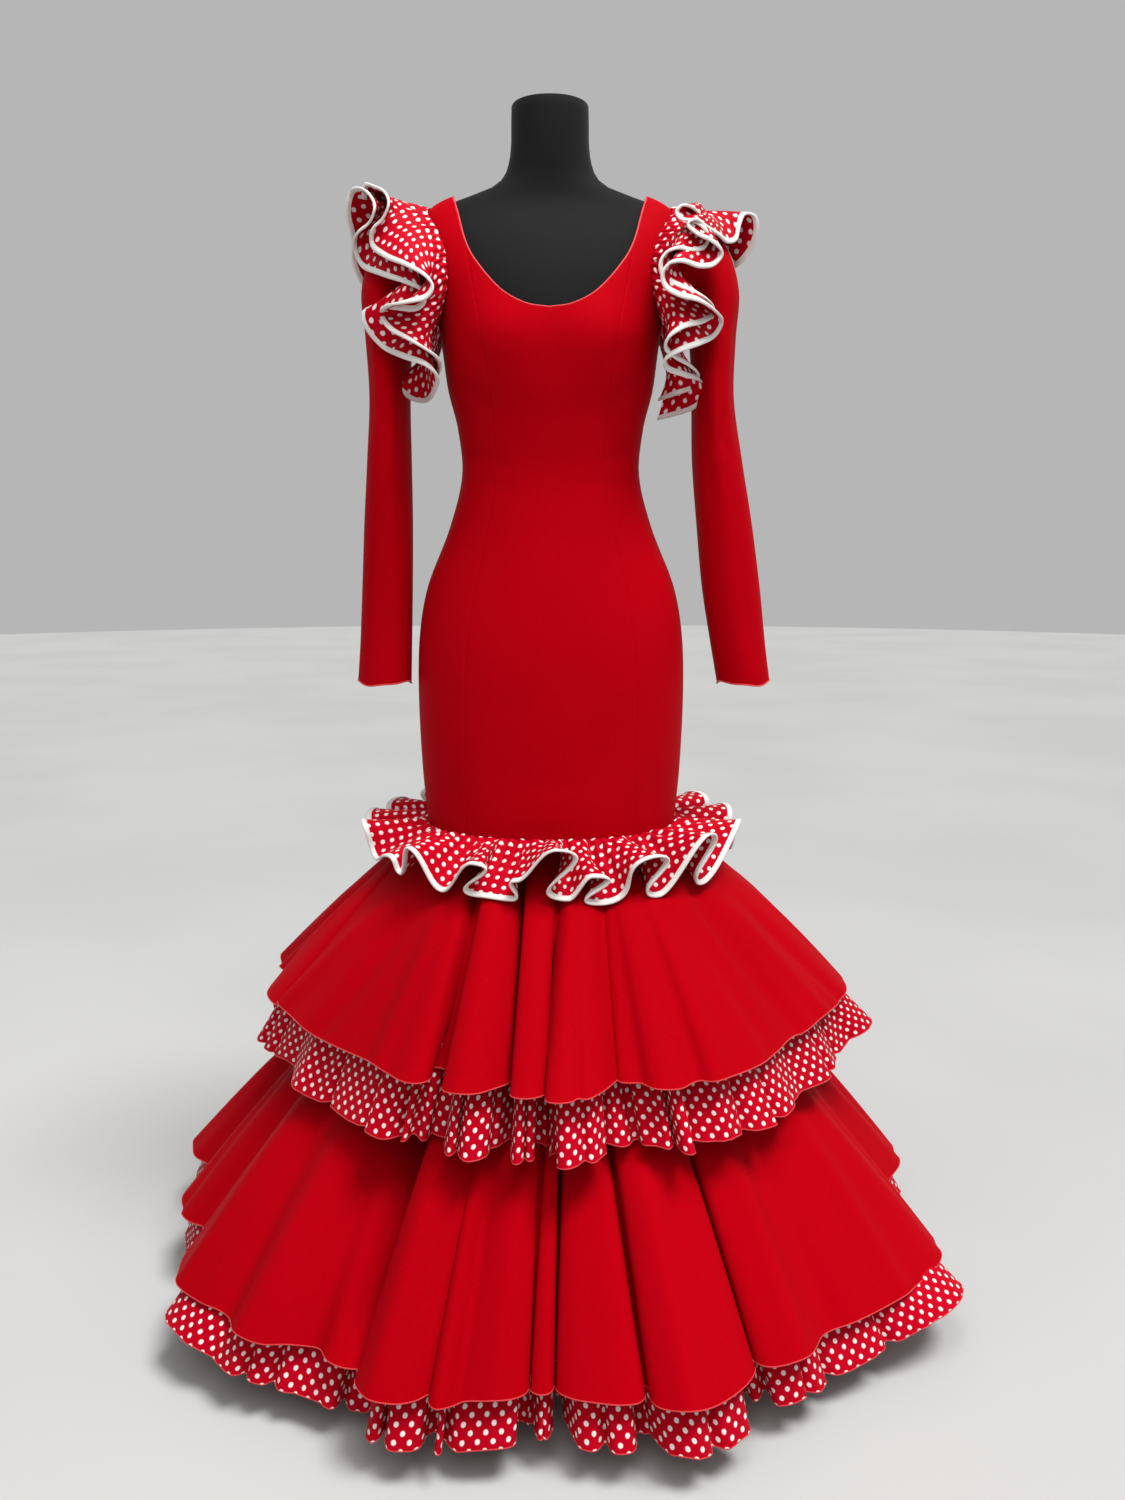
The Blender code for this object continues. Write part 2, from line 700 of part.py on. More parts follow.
def knee_lie(place):
    """The seam stays on the body. The edge spreads from it, nearly level."""
    angle = radians(place)
    outwards = Vector((sin(angle), -cos(angle), 0))
    root = body_point(place, KNEE_SEAM + KNEE_LAP, CLOTH + 0.0013)
    droop = KNEE_DROOP / KNEE_LENGTH
    way = Vector((outwards.x, outwards.y, -droop)).normalized()
    across = Vector((outwards.x * droop, outwards.y * droop, 1)).normalized()
    return root, way, across, KNEE_LENGTH


def make_knee_ruffle():
    waves = knee_waves()
    path = wave_path(waves, STEPS * COLUMNS, waves[0].at + 360, waves[0].rise)[:-1]
    edge = (KNEE_LENGTH - BIAS_WIDTH - BIAS_GAP) / KNEE_LENGTH
    band = (KNEE_LENGTH - BIAS_WIDTH) / KNEE_LENGTH
    ruffle = ruffle_grid(path, STEPS, knee_lie, [edge, 0.52, 0.0])
    cloth("knee_ruffle", ruffle, DOTTED, RUFFLE_CLOTH, 0, closed=True)
    binding = ruffle_grid(path, STEPS, knee_lie, [1.0, band])
    cloth("knee_ruffle_binding", binding, WHITE, BIAS_CLOTH, 0, closed=True)


def shoulder_lie(root_scale):
    """How a shoulder ruffle lies: its seam goes round the armhole, just outside it."""

    def lie(place):
        out = through(SHOULDER_LIE, "around", "out", place)
        forward = through(SHOULDER_LIE, "around", "forward", place)
        up = through(SHOULDER_LIE, "around", "up", place)
        length = through(SHOULDER_LIE, "around", "length", place)
        way = Vector((out, -forward, up)).normalized()
        along = (armhole_point(place + 2) - armhole_point(place - 2)).normalized()
        across = along.cross(way).normalized()
        root = armhole_point(place, root_scale, CLOTH + ROOT_STANDOFF)
        return root, way, across, length

    return lie


def make_shoulder_ruffles():
    edge = (RUFFLE_LENGTH - BIAS_WIDTH - BIAS_GAP) / RUFFLE_LENGTH
    band = (RUFFLE_LENGTH - BIAS_WIDTH) / RUFFLE_LENGTH
    for hand, waves in (("left", LEFT_SHOULDER_WAVES), ("right", RIGHT_SHOULDER_WAVES)):
        path = wave_path(waves, STEPS * COLUMNS, SHOULDER_END)
        for layer, scale, gap in (("lower", LOWER_ROOT, 0.0), ("upper", UPPER_ROOT, -LAYER_GAP)):
            lie = shoulder_lie(scale)
            ruffle = ruffle_grid(path, STEPS, lie, [0.0, 0.5, edge], gap)
            binding = ruffle_grid(path, STEPS, lie, [band, 1.0], gap)
            if hand == "right":
                ruffle = mirrored(ruffle)
                binding = mirrored(binding)
            cloth(f"shoulder_ruffle_{layer}_{hand}", ruffle, DOTTED, RUFFLE_CLOTH, 0)
            cloth(f"shoulder_binding_{layer}_{hand}", binding, WHITE, BIAS_CLOTH, 0)


# ---------------------------------------------------------------- flounces and what is under them


def fold_at(folds, turn):
    """How deep the folds are at a turn, at the hem, and how far they push the cloth sideways."""
    depth = 0.0
    push = 0.0
    for fold in folds:
        off = (turn - fold.turn + 180) % 360 - 180
        x = off / fold.half_width
        if abs(x) < 1:
            bump = (1 + cos(pi * x)) / 2
            depth += fold.depth * bump
            push += fold.lean * bump - fold.pinch * sin(pi * x)
    return depth, push


def fold_columns(folds, widest=11.0):
    """The turns that a flounce needs a column at: five on each fold, and some between."""
    marks = []
    for fold in folds:
        for step in (-1, -0.5, 0, 0.5, 1):
            marks.append(fold.turn + step * fold.half_width)
    marks = sorted((mark + 180) % 360 - 180 for mark in marks)
    kept = []
    for mark in marks:
        if not kept or mark - kept[-1] > 1.0:
            kept.append(mark)
    turns = []
    for mark, after in zip(kept, kept[1:] + [kept[0] + 360]):
        pieces = max(1, floor((after - mark) / widest + 0.999))
        turns += [mark + (after - mark) * k / pieces for k in range(pieces)]
    return turns


def upper_root(turn):
    return body_point(turn, KNEE_SEAM - 0.0012, -0.0012)


def lower_root(turn):
    angle = radians(turn)
    radius = BASE_SKIRT_RADIUS
    return Vector((radius * sin(angle), -radius * cos(angle), BASE_SKIRT_HEIGHT - 0.0018))


def flounce_point(root, hem, folds, bulge, turn, share):
    """A point of a flounce, share of the way from its seam to its hem."""
    depth, push = fold_at(folds, turn)
    place = turn + push * share**2
    angle = radians(place)
    start = root(place)
    radius = mix(hypot(start.x, start.y), around(hem, "radius", place), share)
    height = mix(start.z, around(hem, "height", place), share)
    arch = bulge * sin(pi * share)
    fold = depth * share**FOLD_FADE
    radius += arch * 0.7 - fold
    height += arch * 0.7 - fold * 0.25 * (1 - share)
    return Vector((radius * sin(angle), -radius * cos(angle), height))


def flounce_grid(root, hem, folds, bulge, rows):
    turns = fold_columns(folds)
    return [
        [flounce_point(root, hem, folds, bulge, turn, share) for turn in turns]
        for share in reversed(rows)
    ]


def under_grid(root, hem, folds, bulge, under):
    """A pleated ruffle sewn to a flounce's inner face a little above its hem."""
    grid = []
    columns = under.pleats * 2
    for share in (1.0, 0.55, 0.0):
        row = []
        for i in range(columns):
            turn = 360 * i / columns
            sewn = flounce_point(root, hem, folds, bulge, turn, under.sewn_at)
            depth, _ = fold_at(folds, turn)
            outwards = Vector((sewn.x, sewn.y, 0)).normalized()
            pleat = under.pleat_depth * (1 if i % 2 else -1) * (0.25 + 0.75 * share)
            drop = (1 - under.spread**2) ** 0.5
            inside = sewn - outwards * under.inside - Vector((0, 0, under.inside * 0.7))
            reach = under.length * under.spread * share - depth * 0.16 * share + pleat
            row.append(inside + outwards * reach - Vector((0, 0, under.length * drop * share)))
        grid.append(row)
    return grid


def make_flounces():
    upper = (upper_root, UPPER_HEM, UPPER_FOLDS, UPPER_BULGE)
    lower = (lower_root, LOWER_HEM, LOWER_FOLDS, LOWER_BULGE)
    cloth("upper_flounce", flounce_grid(*upper, FLOUNCE_ROWS), RED, CLOTH, 0, closed=True)
    cloth("lower_flounce", flounce_grid(*lower, FLOUNCE_ROWS), RED, CLOTH, 0, closed=True)
    upper_under = under_grid(*upper, UPPER_UNDER)
    lower_under = under_grid(*lower, LOWER_UNDER)
    cloth("upper_dotted_ruffle", upper_under, DOTTED, RUFFLE_CLOTH, 0, closed=True)
    cloth("lower_dotted_ruffle", lower_under, DOTTED, RUFFLE_CLOTH, 0, closed=True)


def make_base_skirt(columns=32):
    """The plain skirt that goes on under the upper flounce and carries the lower one."""
    grid = []
    for share in (1.0, 0.0):
        row = []
        for i in range(columns):
            turn = 360 * i / columns
            top = body_point(turn, KNEE_SEAM - 0.0028, -0.0026)
            low = lower_root(turn)
            row.append(Vector(top).lerp(Vector((low.x, low.y, BASE_SKIRT_HEIGHT)), share))
        grid.append(row)
    cloth("base_skirt", grid, RED, CLOTH, 0, closed=True)


# ---------------------------------------------------------------- dress form and stand


def make_form():
    """A closed, limbless torso: rings of the body's own sections, a little inside the cloth."""
    heights = [FORM_BOTTOM, 0.80, 0.88, 0.95, 1.03, WAIST, 1.16, 1.21, 1.262, 1.30, 1.35, 1.39]
    heights += [1.418, 1.430, 1.441, 1.450, 1.458, 1.472, 1.490, 1.515, 1.562]
    columns = 24
    shape = bmesh.new()
    rings = []
    for height in heights:
        inset = FORM_TOUCH if height == WAIST else FORM_INSET
        drop = Vector((0, 0, FORM_DROP if height > UNDERARM else 0))
        ring = []
        for i in range(columns):
            point = body_point(360 * i / columns, height, -inset, cups=False) - drop
            ring.append(shape.verts.new(point))
        rings.append(ring)
    for lower, upper in zip(rings, rings[1:]):
        for i in range(columns):
            j = (i + 1) % columns
            shape.faces.new((lower[i], lower[j], upper[j], upper[i]))
    shape.faces.new(list(reversed(rings[0])))
    crown = shape.verts.new((0, 0, heights[-1] + 0.002))
    for i in range(columns):
        shape.faces.new((rings[-1][i], rings[-1][(i + 1) % columns], crown))
    for face in shape.faces:
        face.smooth = True
    mesh = bpy.data.meshes.new("form_torso")
    shape.to_mesh(mesh)
    shape.free()
    add_object("form_torso", mesh, BLACK, 0.6)


def turned(name, profile, colour, roughness, metallic, steps):
    """A turned solid. The profile is (radius, height) down its outer side, from axis to axis."""
    mesh = bpy.data.meshes.new(name)
    points = [(radius, 0, height) for radius, height in profile]
    mesh.from_pydata(points, [(i, i + 1) for i in range(len(points) - 1)], [])
    piece = add_object(name, mesh, colour, roughness, metallic)
    screw = piece.modifiers.new("Turn", "SCREW")
    screw.steps = steps
    screw.render_steps = steps
    screw.use_merge_vertices = True
    screw.merge_threshold = 0.00005
    return piece


def make_stand():
    top = BASE_THICKNESS + COLLAR_HEIGHT
    turned(
        "stand_base",
        [
            (0, top),
            (COLLAR_RADIUS - 0.002, top),
            (COLLAR_RADIUS, top - 0.002),
            (COLLAR_RADIUS, BASE_THICKNESS),
            (BASE_RADIUS - 0.003, BASE_THICKNESS),
            (BASE_RADIUS, BASE_THICKNESS - 0.003),
            (BASE_RADIUS, 0),
            (0, 0),
        ],
        STEEL, 0.35, 1.0, 32,
    )
    turned(
        "stand_pole",
        [(0, FORM_BOTTOM - SEAM), (POLE_RADIUS, FORM_BOTTOM - SEAM), (POLE_RADIUS, top + SEAM), (0, top + SEAM)],
        STEEL, 0.3, 1.0, 20,
    )


# ---------------------------------------------------------------- zip


def box(shape, low, high):
    """A box between two corners, added to a mesh."""
    size = Vector(high) - Vector(low)
    middle = (Vector(high) + Vector(low)) / 2
    place = Matrix.Translation(middle) @ Matrix.Diagonal((*size, 1))
    bmesh.ops.create_cube(shape, size=1, matrix=place)


def zip_frame():
    """The place and tilt of the zip's pieces: x across, y off the cloth, z up the seam."""
    here = body_point(180, ZIP_HEIGHT, CLOTH + ZIP_STANDOFF)
    above = body_point(180, ZIP_HEIGHT + 0.004, CLOTH)
    below = body_point(180, ZIP_HEIGHT - 0.026, CLOTH)
    up = (above - below).normalized()
    off = Vector((1, 0, 0)).cross(up) * -1
    frame = Matrix((
        (1, off.x, up.x, here.x),
        (0, off.y, up.y, here.y),
        (0, off.z, up.z, here.z),
        (0, 0, 0, 1),
    ))
    return frame


def joined(name, boxes, frame, colour):
    """Boxes made one solid by unions, then set in their place."""
    made = []
    for low, high in boxes:
        shape = bmesh.new()
        box(shape, low, high)
        mesh = bpy.data.meshes.new(name)
        shape.to_mesh(mesh)
        shape.free()
        made.append(bpy.data.objects.new(name + "_piece", mesh))
    first = made[0]
    for other in made[1:]:
        guides.objects.link(other)
        other.hide_render = True
        other.display_type = "WIRE"
        union = first.modifiers.new("Join", "BOOLEAN")
        union.operation = "UNION"
        union.solver = "EXACT"
        union.object = other
        other.matrix_world = frame
    first.name = name
    first.data.materials.append(material(name + "_finish", colour, 0.3, 1.0))
    parts.objects.link(first)
    first.matrix_world = frame
    return first


BAR_OUT = 0.0023  # the pull tab's hinge bar, off the slider's back face
BAR_UP = -0.0024


def make_zip():
    frame = zip_frame()
    slider = [
        ((-0.0030, 0.0, -0.0050), (0.0030, 0.0014, 0.0050)),
        ((-0.0010, 0.0010, 0.0032), (0.0010, 0.0042, 0.0042)),
        ((-0.0010, 0.0010, -0.0042), (0.0010, 0.0042, -0.0032)),
        ((-0.0010, 0.0032, -0.0042), (0.0010, 0.0042, 0.0042)),
    ]
    joined("zip_slider", slider, frame, STEEL)
    tab = [
        ((-0.0026, BAR_OUT - 0.0005, BAR_UP - 0.0005), (0.0026, BAR_OUT + 0.0005, BAR_UP + 0.0005)),
        ((-0.0026, BAR_OUT - 0.0005, BAR_UP - 0.0062), (-0.0014, BAR_OUT + 0.0005, BAR_UP)),
        ((0.0014, BAR_OUT - 0.0005, BAR_UP - 0.0062), (0.0026, BAR_OUT + 0.0005, BAR_UP)),
        ((-0.0026, BAR_OUT - 0.0005, BAR_UP - 0.0230), (0.0026, BAR_OUT + 0.0005, BAR_UP - 0.0050)),
    ]
    joined("zip_pull_tab", tab, frame, STEEL)
    bar = frame @ Vector((0, BAR_OUT, BAR_UP))
    print("pull tab hinge at", [round(v, 5) for v in bar])


# ---------------------------------------------------------------- the whole

make_form()
make_stand()
make_panels()
make_sleeves()
make_shoulder_ruffles()
make_knee_ruffle()
make_base_skirt()
make_flounces()
make_zip()
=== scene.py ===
# %% [markdown]
# # A flamenco dress, piece by piece
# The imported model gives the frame: every solid stands where it belongs, in metres, with the floor at
# z = 0 and the front of the dress facing -Y. Each cloth piece, and the form under them, is now made
# again, finer, on the same lines, and takes its solid's place. The stand's pole and base and the
# zip's slider and pull tab keep their own solids.

# %% Load the frame
from collections import namedtuple
from math import pi, radians, sin, tau

import bpy
import numpy as np
from mathutils import Matrix, Vector


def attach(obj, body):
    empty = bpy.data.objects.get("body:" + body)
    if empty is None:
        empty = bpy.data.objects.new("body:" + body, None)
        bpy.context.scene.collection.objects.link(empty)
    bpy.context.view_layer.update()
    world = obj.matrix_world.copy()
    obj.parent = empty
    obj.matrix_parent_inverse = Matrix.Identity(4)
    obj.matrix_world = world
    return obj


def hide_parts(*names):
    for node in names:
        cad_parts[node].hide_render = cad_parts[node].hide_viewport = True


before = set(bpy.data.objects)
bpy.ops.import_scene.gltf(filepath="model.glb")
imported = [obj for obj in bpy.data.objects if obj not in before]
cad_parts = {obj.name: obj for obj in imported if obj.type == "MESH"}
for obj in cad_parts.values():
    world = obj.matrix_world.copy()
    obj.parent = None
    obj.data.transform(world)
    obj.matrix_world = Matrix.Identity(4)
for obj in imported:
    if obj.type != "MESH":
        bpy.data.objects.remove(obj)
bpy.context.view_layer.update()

# %% [markdown]
# ## Camera
# A standing dress is looked at from chest height, near enough to see the cloth. A wide lens at one
# metre takes in the hem and the shoulders at once. Turned 90 degrees about X a camera looks level,
# so 80 degrees tips it ten degrees down. A longer lens further off would flatten the flounces.

# %% Camera
CAMERA_AT = (0.016, -1.567, 1.0)
CAMERA_TURN = radians(80)
CAMERA_LENS = 27.05
CAMERA_SENSOR = 36.0

camera_data = bpy.data.cameras.new("camera")
camera_data.lens = CAMERA_LENS
camera_data.sensor_width = CAMERA_SENSOR
camera = bpy.data.objects.new("camera", camera_data)
camera.location = CAMERA_AT
camera.rotation_euler = (CAMERA_TURN, 0, 0)
bpy.context.scene.collection.objects.link(camera)
bpy.context.scene.camera = camera
print("camera at", CAMERA_AT)

# %% [markdown]
# ## Light
# Folds show best in soft light from above and in front. A very broad overhead light does most of the
# work, so the shadows between the folds have no hard edge. One area light in front opens them, a
# smaller one close above the chest lifts the bodice over the skirt, and a weak one at the side keeps
# that side round. A pale world fills what is left, as white walls would.

# %% Lights
# For a sun lamp, size is the angle that its disc fills, and its place only sets where it points from.
Light = namedtuple("Light", "name kind x y z aim_z size power")
LIGHTS = [
    Light("overhead", "SUN", 1.5, -0.8, 4.2, 0.0, radians(20), 3.1),
    Light("front", "AREA", -0.2, -2.0, 2.7, 0.8, 1.6, 17),
    Light("spot", "AREA", 0.1, -0.95, 2.5, 1.1, 0.7, 15),
    Light("side", "AREA", 3.6, -1.6, 2.0, 0.7, 2.4, 9),
]
WORLD_GREY = (0.90, 0.90, 0.90, 1)
WORLD_STRENGTH = 0.52

for row in LIGHTS:
    lamp = bpy.data.lights.new(row.name, row.kind)
    lamp.energy = row.power
    if row.kind == "SUN":
        lamp.angle = row.size
    else:
        lamp.size = row.size
    light = bpy.data.objects.new(row.name, lamp)
    light.location = (row.x, row.y, row.z)
    aim = Vector((0, 0, row.aim_z)) - light.location
    light.rotation_euler = aim.to_track_quat("-Z", "Y").to_euler()
    bpy.context.scene.collection.objects.link(light)

world = bpy.data.worlds.new("studio")
world.use_nodes = True
world.node_tree.nodes["Background"].inputs["Color"].default_value = WORLD_GREY
world.node_tree.nodes["Background"].inputs["Strength"].default_value = WORLD_STRENGTH
bpy.context.scene.world = world
bpy.context.scene.view_settings.view_transform = "Standard"
print(len(LIGHTS), "lights")

# %% [markdown]
# ## Finishes from nodes
# Each finish below is a tree of nodes: noise and simple sums laid on the piece in metres. Nothing is
# painted on an image, so a finish holds at any distance. A node could be added and wired by hand each
# time; these short helpers do it in one line, which keeps every finish short enough to read.


# %% A short way to build node materials
def finish_of(name, roughness, **sockets):
    """A new material, with its Principled shader's constants set on the shader itself."""
    made = bpy.data.materials.new(name)
    made.use_nodes = True
    shader = made.node_tree.nodes["Principled BSDF"]
    shader.inputs["Roughness"].default_value = roughness
    for socket, value in sockets.items():
        shader.inputs[socket.replace("_", " ")].default_value = value
    return made


def node(made, kind, settings=None, **inputs):
    """A node with settings and inputs: i0 is its first input, and a value may be a socket."""
    new = made.node_tree.nodes.new("ShaderNode" + kind)
    for key, value in (settings or {}).items():
        setattr(new, key, value)
    for key, value in inputs.items():
        place = int(key[1:]) if key[1:].isdigit() else key.replace("_", " ")
        socket = new.inputs[place]
        if isinstance(value, bpy.types.NodeSocket):
            made.node_tree.links.new(value, socket)
        else:
            socket.default_value = value
    return new


# %% The nodes that most finishes share
def maths(made, operation, a, b=0.0, c=0.0):
    return node(made, "Math", {"operation": operation}, i0=a, i1=b, i2=c).outputs[0]


def ramp(made, value, low, high, start=0.0, end=1.0):
    """A number moved smoothly from one range to another."""
    settings = {"interpolation_type": "SMOOTHSTEP"}
    sent = node(made, "MapRange", settings, Value=value, From_Min=low, From_Max=high)
    sent.inputs["To Min"].default_value = start
    sent.inputs["To Max"].default_value = end
    return sent.outputs["Result"]


def blend_colour(made, share, a, b):
    mixed = node(made, "Mix", {"data_type": "RGBA"}, i0=share, i6=a, i7=b)
    return mixed.outputs[2]


def noise(made, where, scale, detail=2.0, roughness=0.5):
    return node(made, "TexNoise", None, Vector=where, Scale=scale, Detail=detail,
                Roughness=roughness).outputs["Fac"]


def wire(made, socket, value):
    shader = made.node_tree.nodes["Principled BSDF"]
    made.node_tree.links.new(value, shader.inputs[socket])


def bump(made, height, strength, distance):
    bumped = node(made, "Bump", None, Height=height, Strength=strength, Distance=distance)
    return bumped.outputs["Normal"]


def object_place(made):
    return node(made, "TexCoord").outputs["Object"]


def uv_place(made):
    """The cloth's own place in metres: u along its edge, v across it."""
    return node(made, "TexCoord").outputs["UV"]


# %% [markdown]
# ## Studio floor
# The dress needs plain ground that takes its shadow.

# %% Floor
FLOOR_RADIUS = 14.0
FLOOR_DARK = (0.43, 0.43, 0.425, 1)
FLOOR_PALE = (0.46, 0.458, 0.45, 1)

floor_finish = finish_of("floor_finish", 0.75, Specular_IOR_Level=0.2)
mottle = ramp(floor_finish, noise(floor_finish, object_place(floor_finish), 0.8, 3.0), 0.35, 0.65)
wire(floor_finish, "Base Color", blend_colour(floor_finish, mottle, FLOOR_DARK, FLOOR_PALE))
bpy.ops.object.select_all(action="DESELECT")
bpy.ops.mesh.primitive_circle_add(vertices=96, radius=FLOOR_RADIUS, fill_type="NGON",
                                  location=(0, 0, 0))
floor = bpy.context.active_object
floor.name = "floor"
floor.data.materials.append(floor_finish)
print("floor radius", FLOOR_RADIUS, "m")

# %% [markdown]
# ## Crepe
# The dress itself is crepe: hard-twisted threads give it a fine pebbled face, so it takes light
# softly and hardly shines. Two sizes of noise make the pebble and the slubs, and one red drifts into
# a slightly brighter one over a hand's width. A woven check would be wrong here: crepe shows none.

# %% Crepe
RED_TINT = (1.0, 0.04, 0.07, 1)
CREPE_DEEP = (0.312, 0.0002, 0.0034, 1)
CREPE_BRIGHT = (0.358, 0.0003, 0.0043, 1)
CREPE_FLECK = (0.50, 0.002, 0.009, 1)
PEBBLE_SCALE = 1500.0  # bumps to a metre
SLUB_SCALE = 260.0


def crepe(name):
    made = finish_of(name, 0.62, Sheen_Weight=0.03, Sheen_Roughness=0.4, Sheen_Tint=RED_TINT,
                     Specular_IOR_Level=0.03, Specular_Tint=RED_TINT)
    where = object_place(made)
    drift = noise(made, where, 2.6, 2.0)
    colour = blend_colour(made, ramp(made, drift, 0.3, 0.7), CREPE_DEEP, CREPE_BRIGHT)
    pebble = noise(made, where, PEBBLE_SCALE, 1.0)
    slub = noise(made, where, SLUB_SCALE, 2.0)
    flecks = ramp(made, slub, 0.40, 0.75, 0.0, 0.10)
    wire(made, "Base Color", blend_colour(made, flecks, colour, CREPE_FLECK))
    weave = maths(made, "ADD", maths(made, "MULTIPLY", slub, 0.6), pebble)
    wire(made, "Normal", bump(made, weave, 0.20, 0.0004))
    return made


crepe_finish = crepe("crepe_red_finish")
print(crepe_finish.name, len(crepe_finish.node_tree.nodes), "nodes")

# %% [markdown]
# ## Dotted cloth
# The ruffles are a smooth crimson cloth printed with round warm-white dots on two staggered grids.
# The dots read the cloth's own map in metres, not the place in space, so they crowd and turn with
# every gather as printed ones do. A fraction of the scaled map gives each dot its own small square.

# %% Dotted cloth
DOT_PITCH = 0.0172  # between dots of one grid; the second grid lies half a pitch off both ways
DOT_RADIUS = 0.00270
DOT_EDGE_FROM = 0.050  # a dot's soft rim in pitches past its radius, from clear ground to full white
DOT_EDGE_TO = 0.005
DOT_GROUND_DEEP = (0.365, 0.0008, 0.0092, 1)
DOT_GROUND_BRIGHT = (0.425, 0.0012, 0.0115, 1)
DOT_WHITE = (0.72, 0.63, 0.60, 1)


def dotted(name):
    made = finish_of(name, 0.58, Sheen_Weight=0.04, Sheen_Roughness=0.4, Sheen_Tint=RED_TINT,
                     Specular_IOR_Level=0.12, Specular_Tint=RED_TINT)

    def vector(operation, a, **more):
        return node(made, "VectorMath", {"operation": operation}, i0=a, **more).outputs

    scaled = vector("SCALE", uv_place(made), Scale=1 / DOT_PITCH)[0]
    nearest = []
    for shift in (0.0, 0.5):
        cell = vector("FRACTION", vector("ADD", scaled, i1=(shift, shift, 0))[0])[0]
        middle = vector("SUBTRACT", cell, i1=(0.5, 0.5, 0))[0]
        nearest.append(vector("LENGTH", vector("MULTIPLY", middle, i1=(1, 1, 0))[0])["Value"])
    distance = maths(made, "MINIMUM", *nearest)
    thread = noise(made, object_place(made), 900.0, 1.0)
    rough_edge = maths(made, "MULTIPLY_ADD", thread, 0.05, distance)
    radius = DOT_RADIUS / DOT_PITCH
    dot = ramp(made, rough_edge, radius + DOT_EDGE_FROM, radius + DOT_EDGE_TO)
    drift = ramp(made, noise(made, object_place(made), 3.0), 0.3, 0.7)
    ground = blend_colour(made, drift, DOT_GROUND_DEEP, DOT_GROUND_BRIGHT)
    wire(made, "Base Color", blend_colour(made, dot, ground, DOT_WHITE))
    weave = maths(made, "MULTIPLY_ADD", dot, 0.35, thread)
    wire(made, "Normal", bump(made, weave, 0.16, 0.0003))
    return made


dotted_finish = dotted("dotted_cloth_finish")
print(dotted_finish.name, "dot pitch", DOT_PITCH, "m")

# %% [markdown]
# ## Bias binding
# Each dotted edge is closed with a folded white tape, cut on the bias so that it follows the curve.
# A row of stitches runs just inside its inner edge. On the tape's map u runs along it and v across
# it, so a stitch line is a narrow band of v, broken along u; modelled stitches would be far too many.

# %% Bias binding
STITCH_PITCH = 0.0030
STITCH_LINE = 0.0015  # from the tape's inner edge
LINE_CLEAR, LINE_FULL = 0.00055, 0.00025  # the line fades out between these distances from its middle
STITCH_CLEAR, STITCH_FULL = 0.40, 0.34  # and each stitch between these shares of its pitch
TAPE_WHITE = (0.66, 0.635, 0.605, 1)
TAPE_WORN = (0.58, 0.53, 0.50, 1)
NEEDLE_SHADE = (0.52, 0.42, 0.40, 1)


def binding_cloth(name):
    made = finish_of(name, 0.50, Sheen_Weight=0.12, Sheen_Roughness=0.4, Specular_IOR_Level=0.35)
    place = node(made, "SeparateXYZ", None, Vector=uv_place(made))
    along = maths(made, "FRACT", maths(made, "DIVIDE", place.outputs[0], STITCH_PITCH))
    across = maths(made, "ABSOLUTE", maths(made, "SUBTRACT", place.outputs[1], STITCH_LINE))
    on_line = ramp(made, across, LINE_CLEAR, LINE_FULL)
    from_middle = maths(made, "ABSOLUTE", maths(made, "SUBTRACT", along, 0.5))
    stitch = maths(made, "MULTIPLY", on_line, ramp(made, from_middle, STITCH_CLEAR, STITCH_FULL))
    twill = noise(made, object_place(made), 1100.0, 1.0)
    wear = ramp(made, noise(made, object_place(made), 45.0, 3.0), 0.45, 0.8, 0.0, 0.35)
    body = blend_colour(made, wear, TAPE_WHITE, TAPE_WORN)
    # painted shade: the sunk groove between the stitches is painted darker, as shade falls in it
    groove_shade = maths(made, "MULTIPLY", maths(made, "SUBTRACT", on_line, stitch), 0.5)
    wire(made, "Base Color", blend_colour(made, groove_shade, body, NEEDLE_SHADE))
    height = maths(made, "MULTIPLY_ADD", stitch, 1.2, maths(made, "MULTIPLY", twill, 0.4))
    wire(made, "Normal", bump(made, maths(made, "SUBTRACT", height, on_line), 0.35, 0.0005))
    return made


binding_finish = binding_cloth("bias_binding_finish")
print(binding_finish.name, "stitch pitch", STITCH_PITCH, "m")

# %% [markdown]
# ## Rolled hem thread
# The flounces' hems are rolled and wrapped in thread, a cord of a brighter red than the crepe. The hem
# is a thin cord of its own, and a sine along its map turns the cord into close wraps of thread. The same
# sine paints each wrap's crest lighter and its groove darker: painted highlight and painted shade on the
# red.

# %% Rolled hem thread
HEM_WRAP = 0.0012
# painted shade and painted highlight: the thread's red, darker in each wrap's groove, lighter on its
# crest
THREAD_RED_SHADED = (0.48, 0.005, 0.011, 1)
THREAD_RED_LIT = (0.62, 0.036, 0.036, 1)

hem_finish = finish_of("rolled_hem_finish", 0.5, Sheen_Weight=0.2, Specular_IOR_Level=0.35)
hem_place = node(hem_finish, "SeparateXYZ", None, Vector=uv_place(hem_finish))
wrap = maths(hem_finish, "SINE", maths(hem_finish, "MULTIPLY", hem_place.outputs[0], tau / HEM_WRAP))
# painted highlight and shade: the colour follows the wraps' bump, lighter on crests, darker in grooves
wrap_light_share = ramp(hem_finish, wrap, -1, 1)
wire(hem_finish, "Base Color", blend_colour(hem_finish, wrap_light_share, THREAD_RED_SHADED, THREAD_RED_LIT))
wire(hem_finish, "Normal", bump(hem_finish, wrap, 0.3, 0.0002))
print(hem_finish.name, "wrap pitch", HEM_WRAP, "m")

# %% [markdown]
# ## The measuring curves
# Every table of sizes is read through one smooth curve, so a piece can be made as fine as needed
# and still lie on the solid it replaces. Straight lines between the rows would leave a kink at each.


# %% Curves through tables
def column(rows, key):
    return np.array([getattr(row, key) for row in rows], float)


def between(start, end, slope_1, slope_2, s):
    """A place, s of the way along, on the smooth curve that leaves start and reaches end."""
    return (
        start * (1 + 2 * s) * (1 - s) ** 2 + slope_1 * s * (1 - s) ** 2
        + end * s * s * (3 - 2 * s) + slope_2 * s * s * (s - 1)
    )


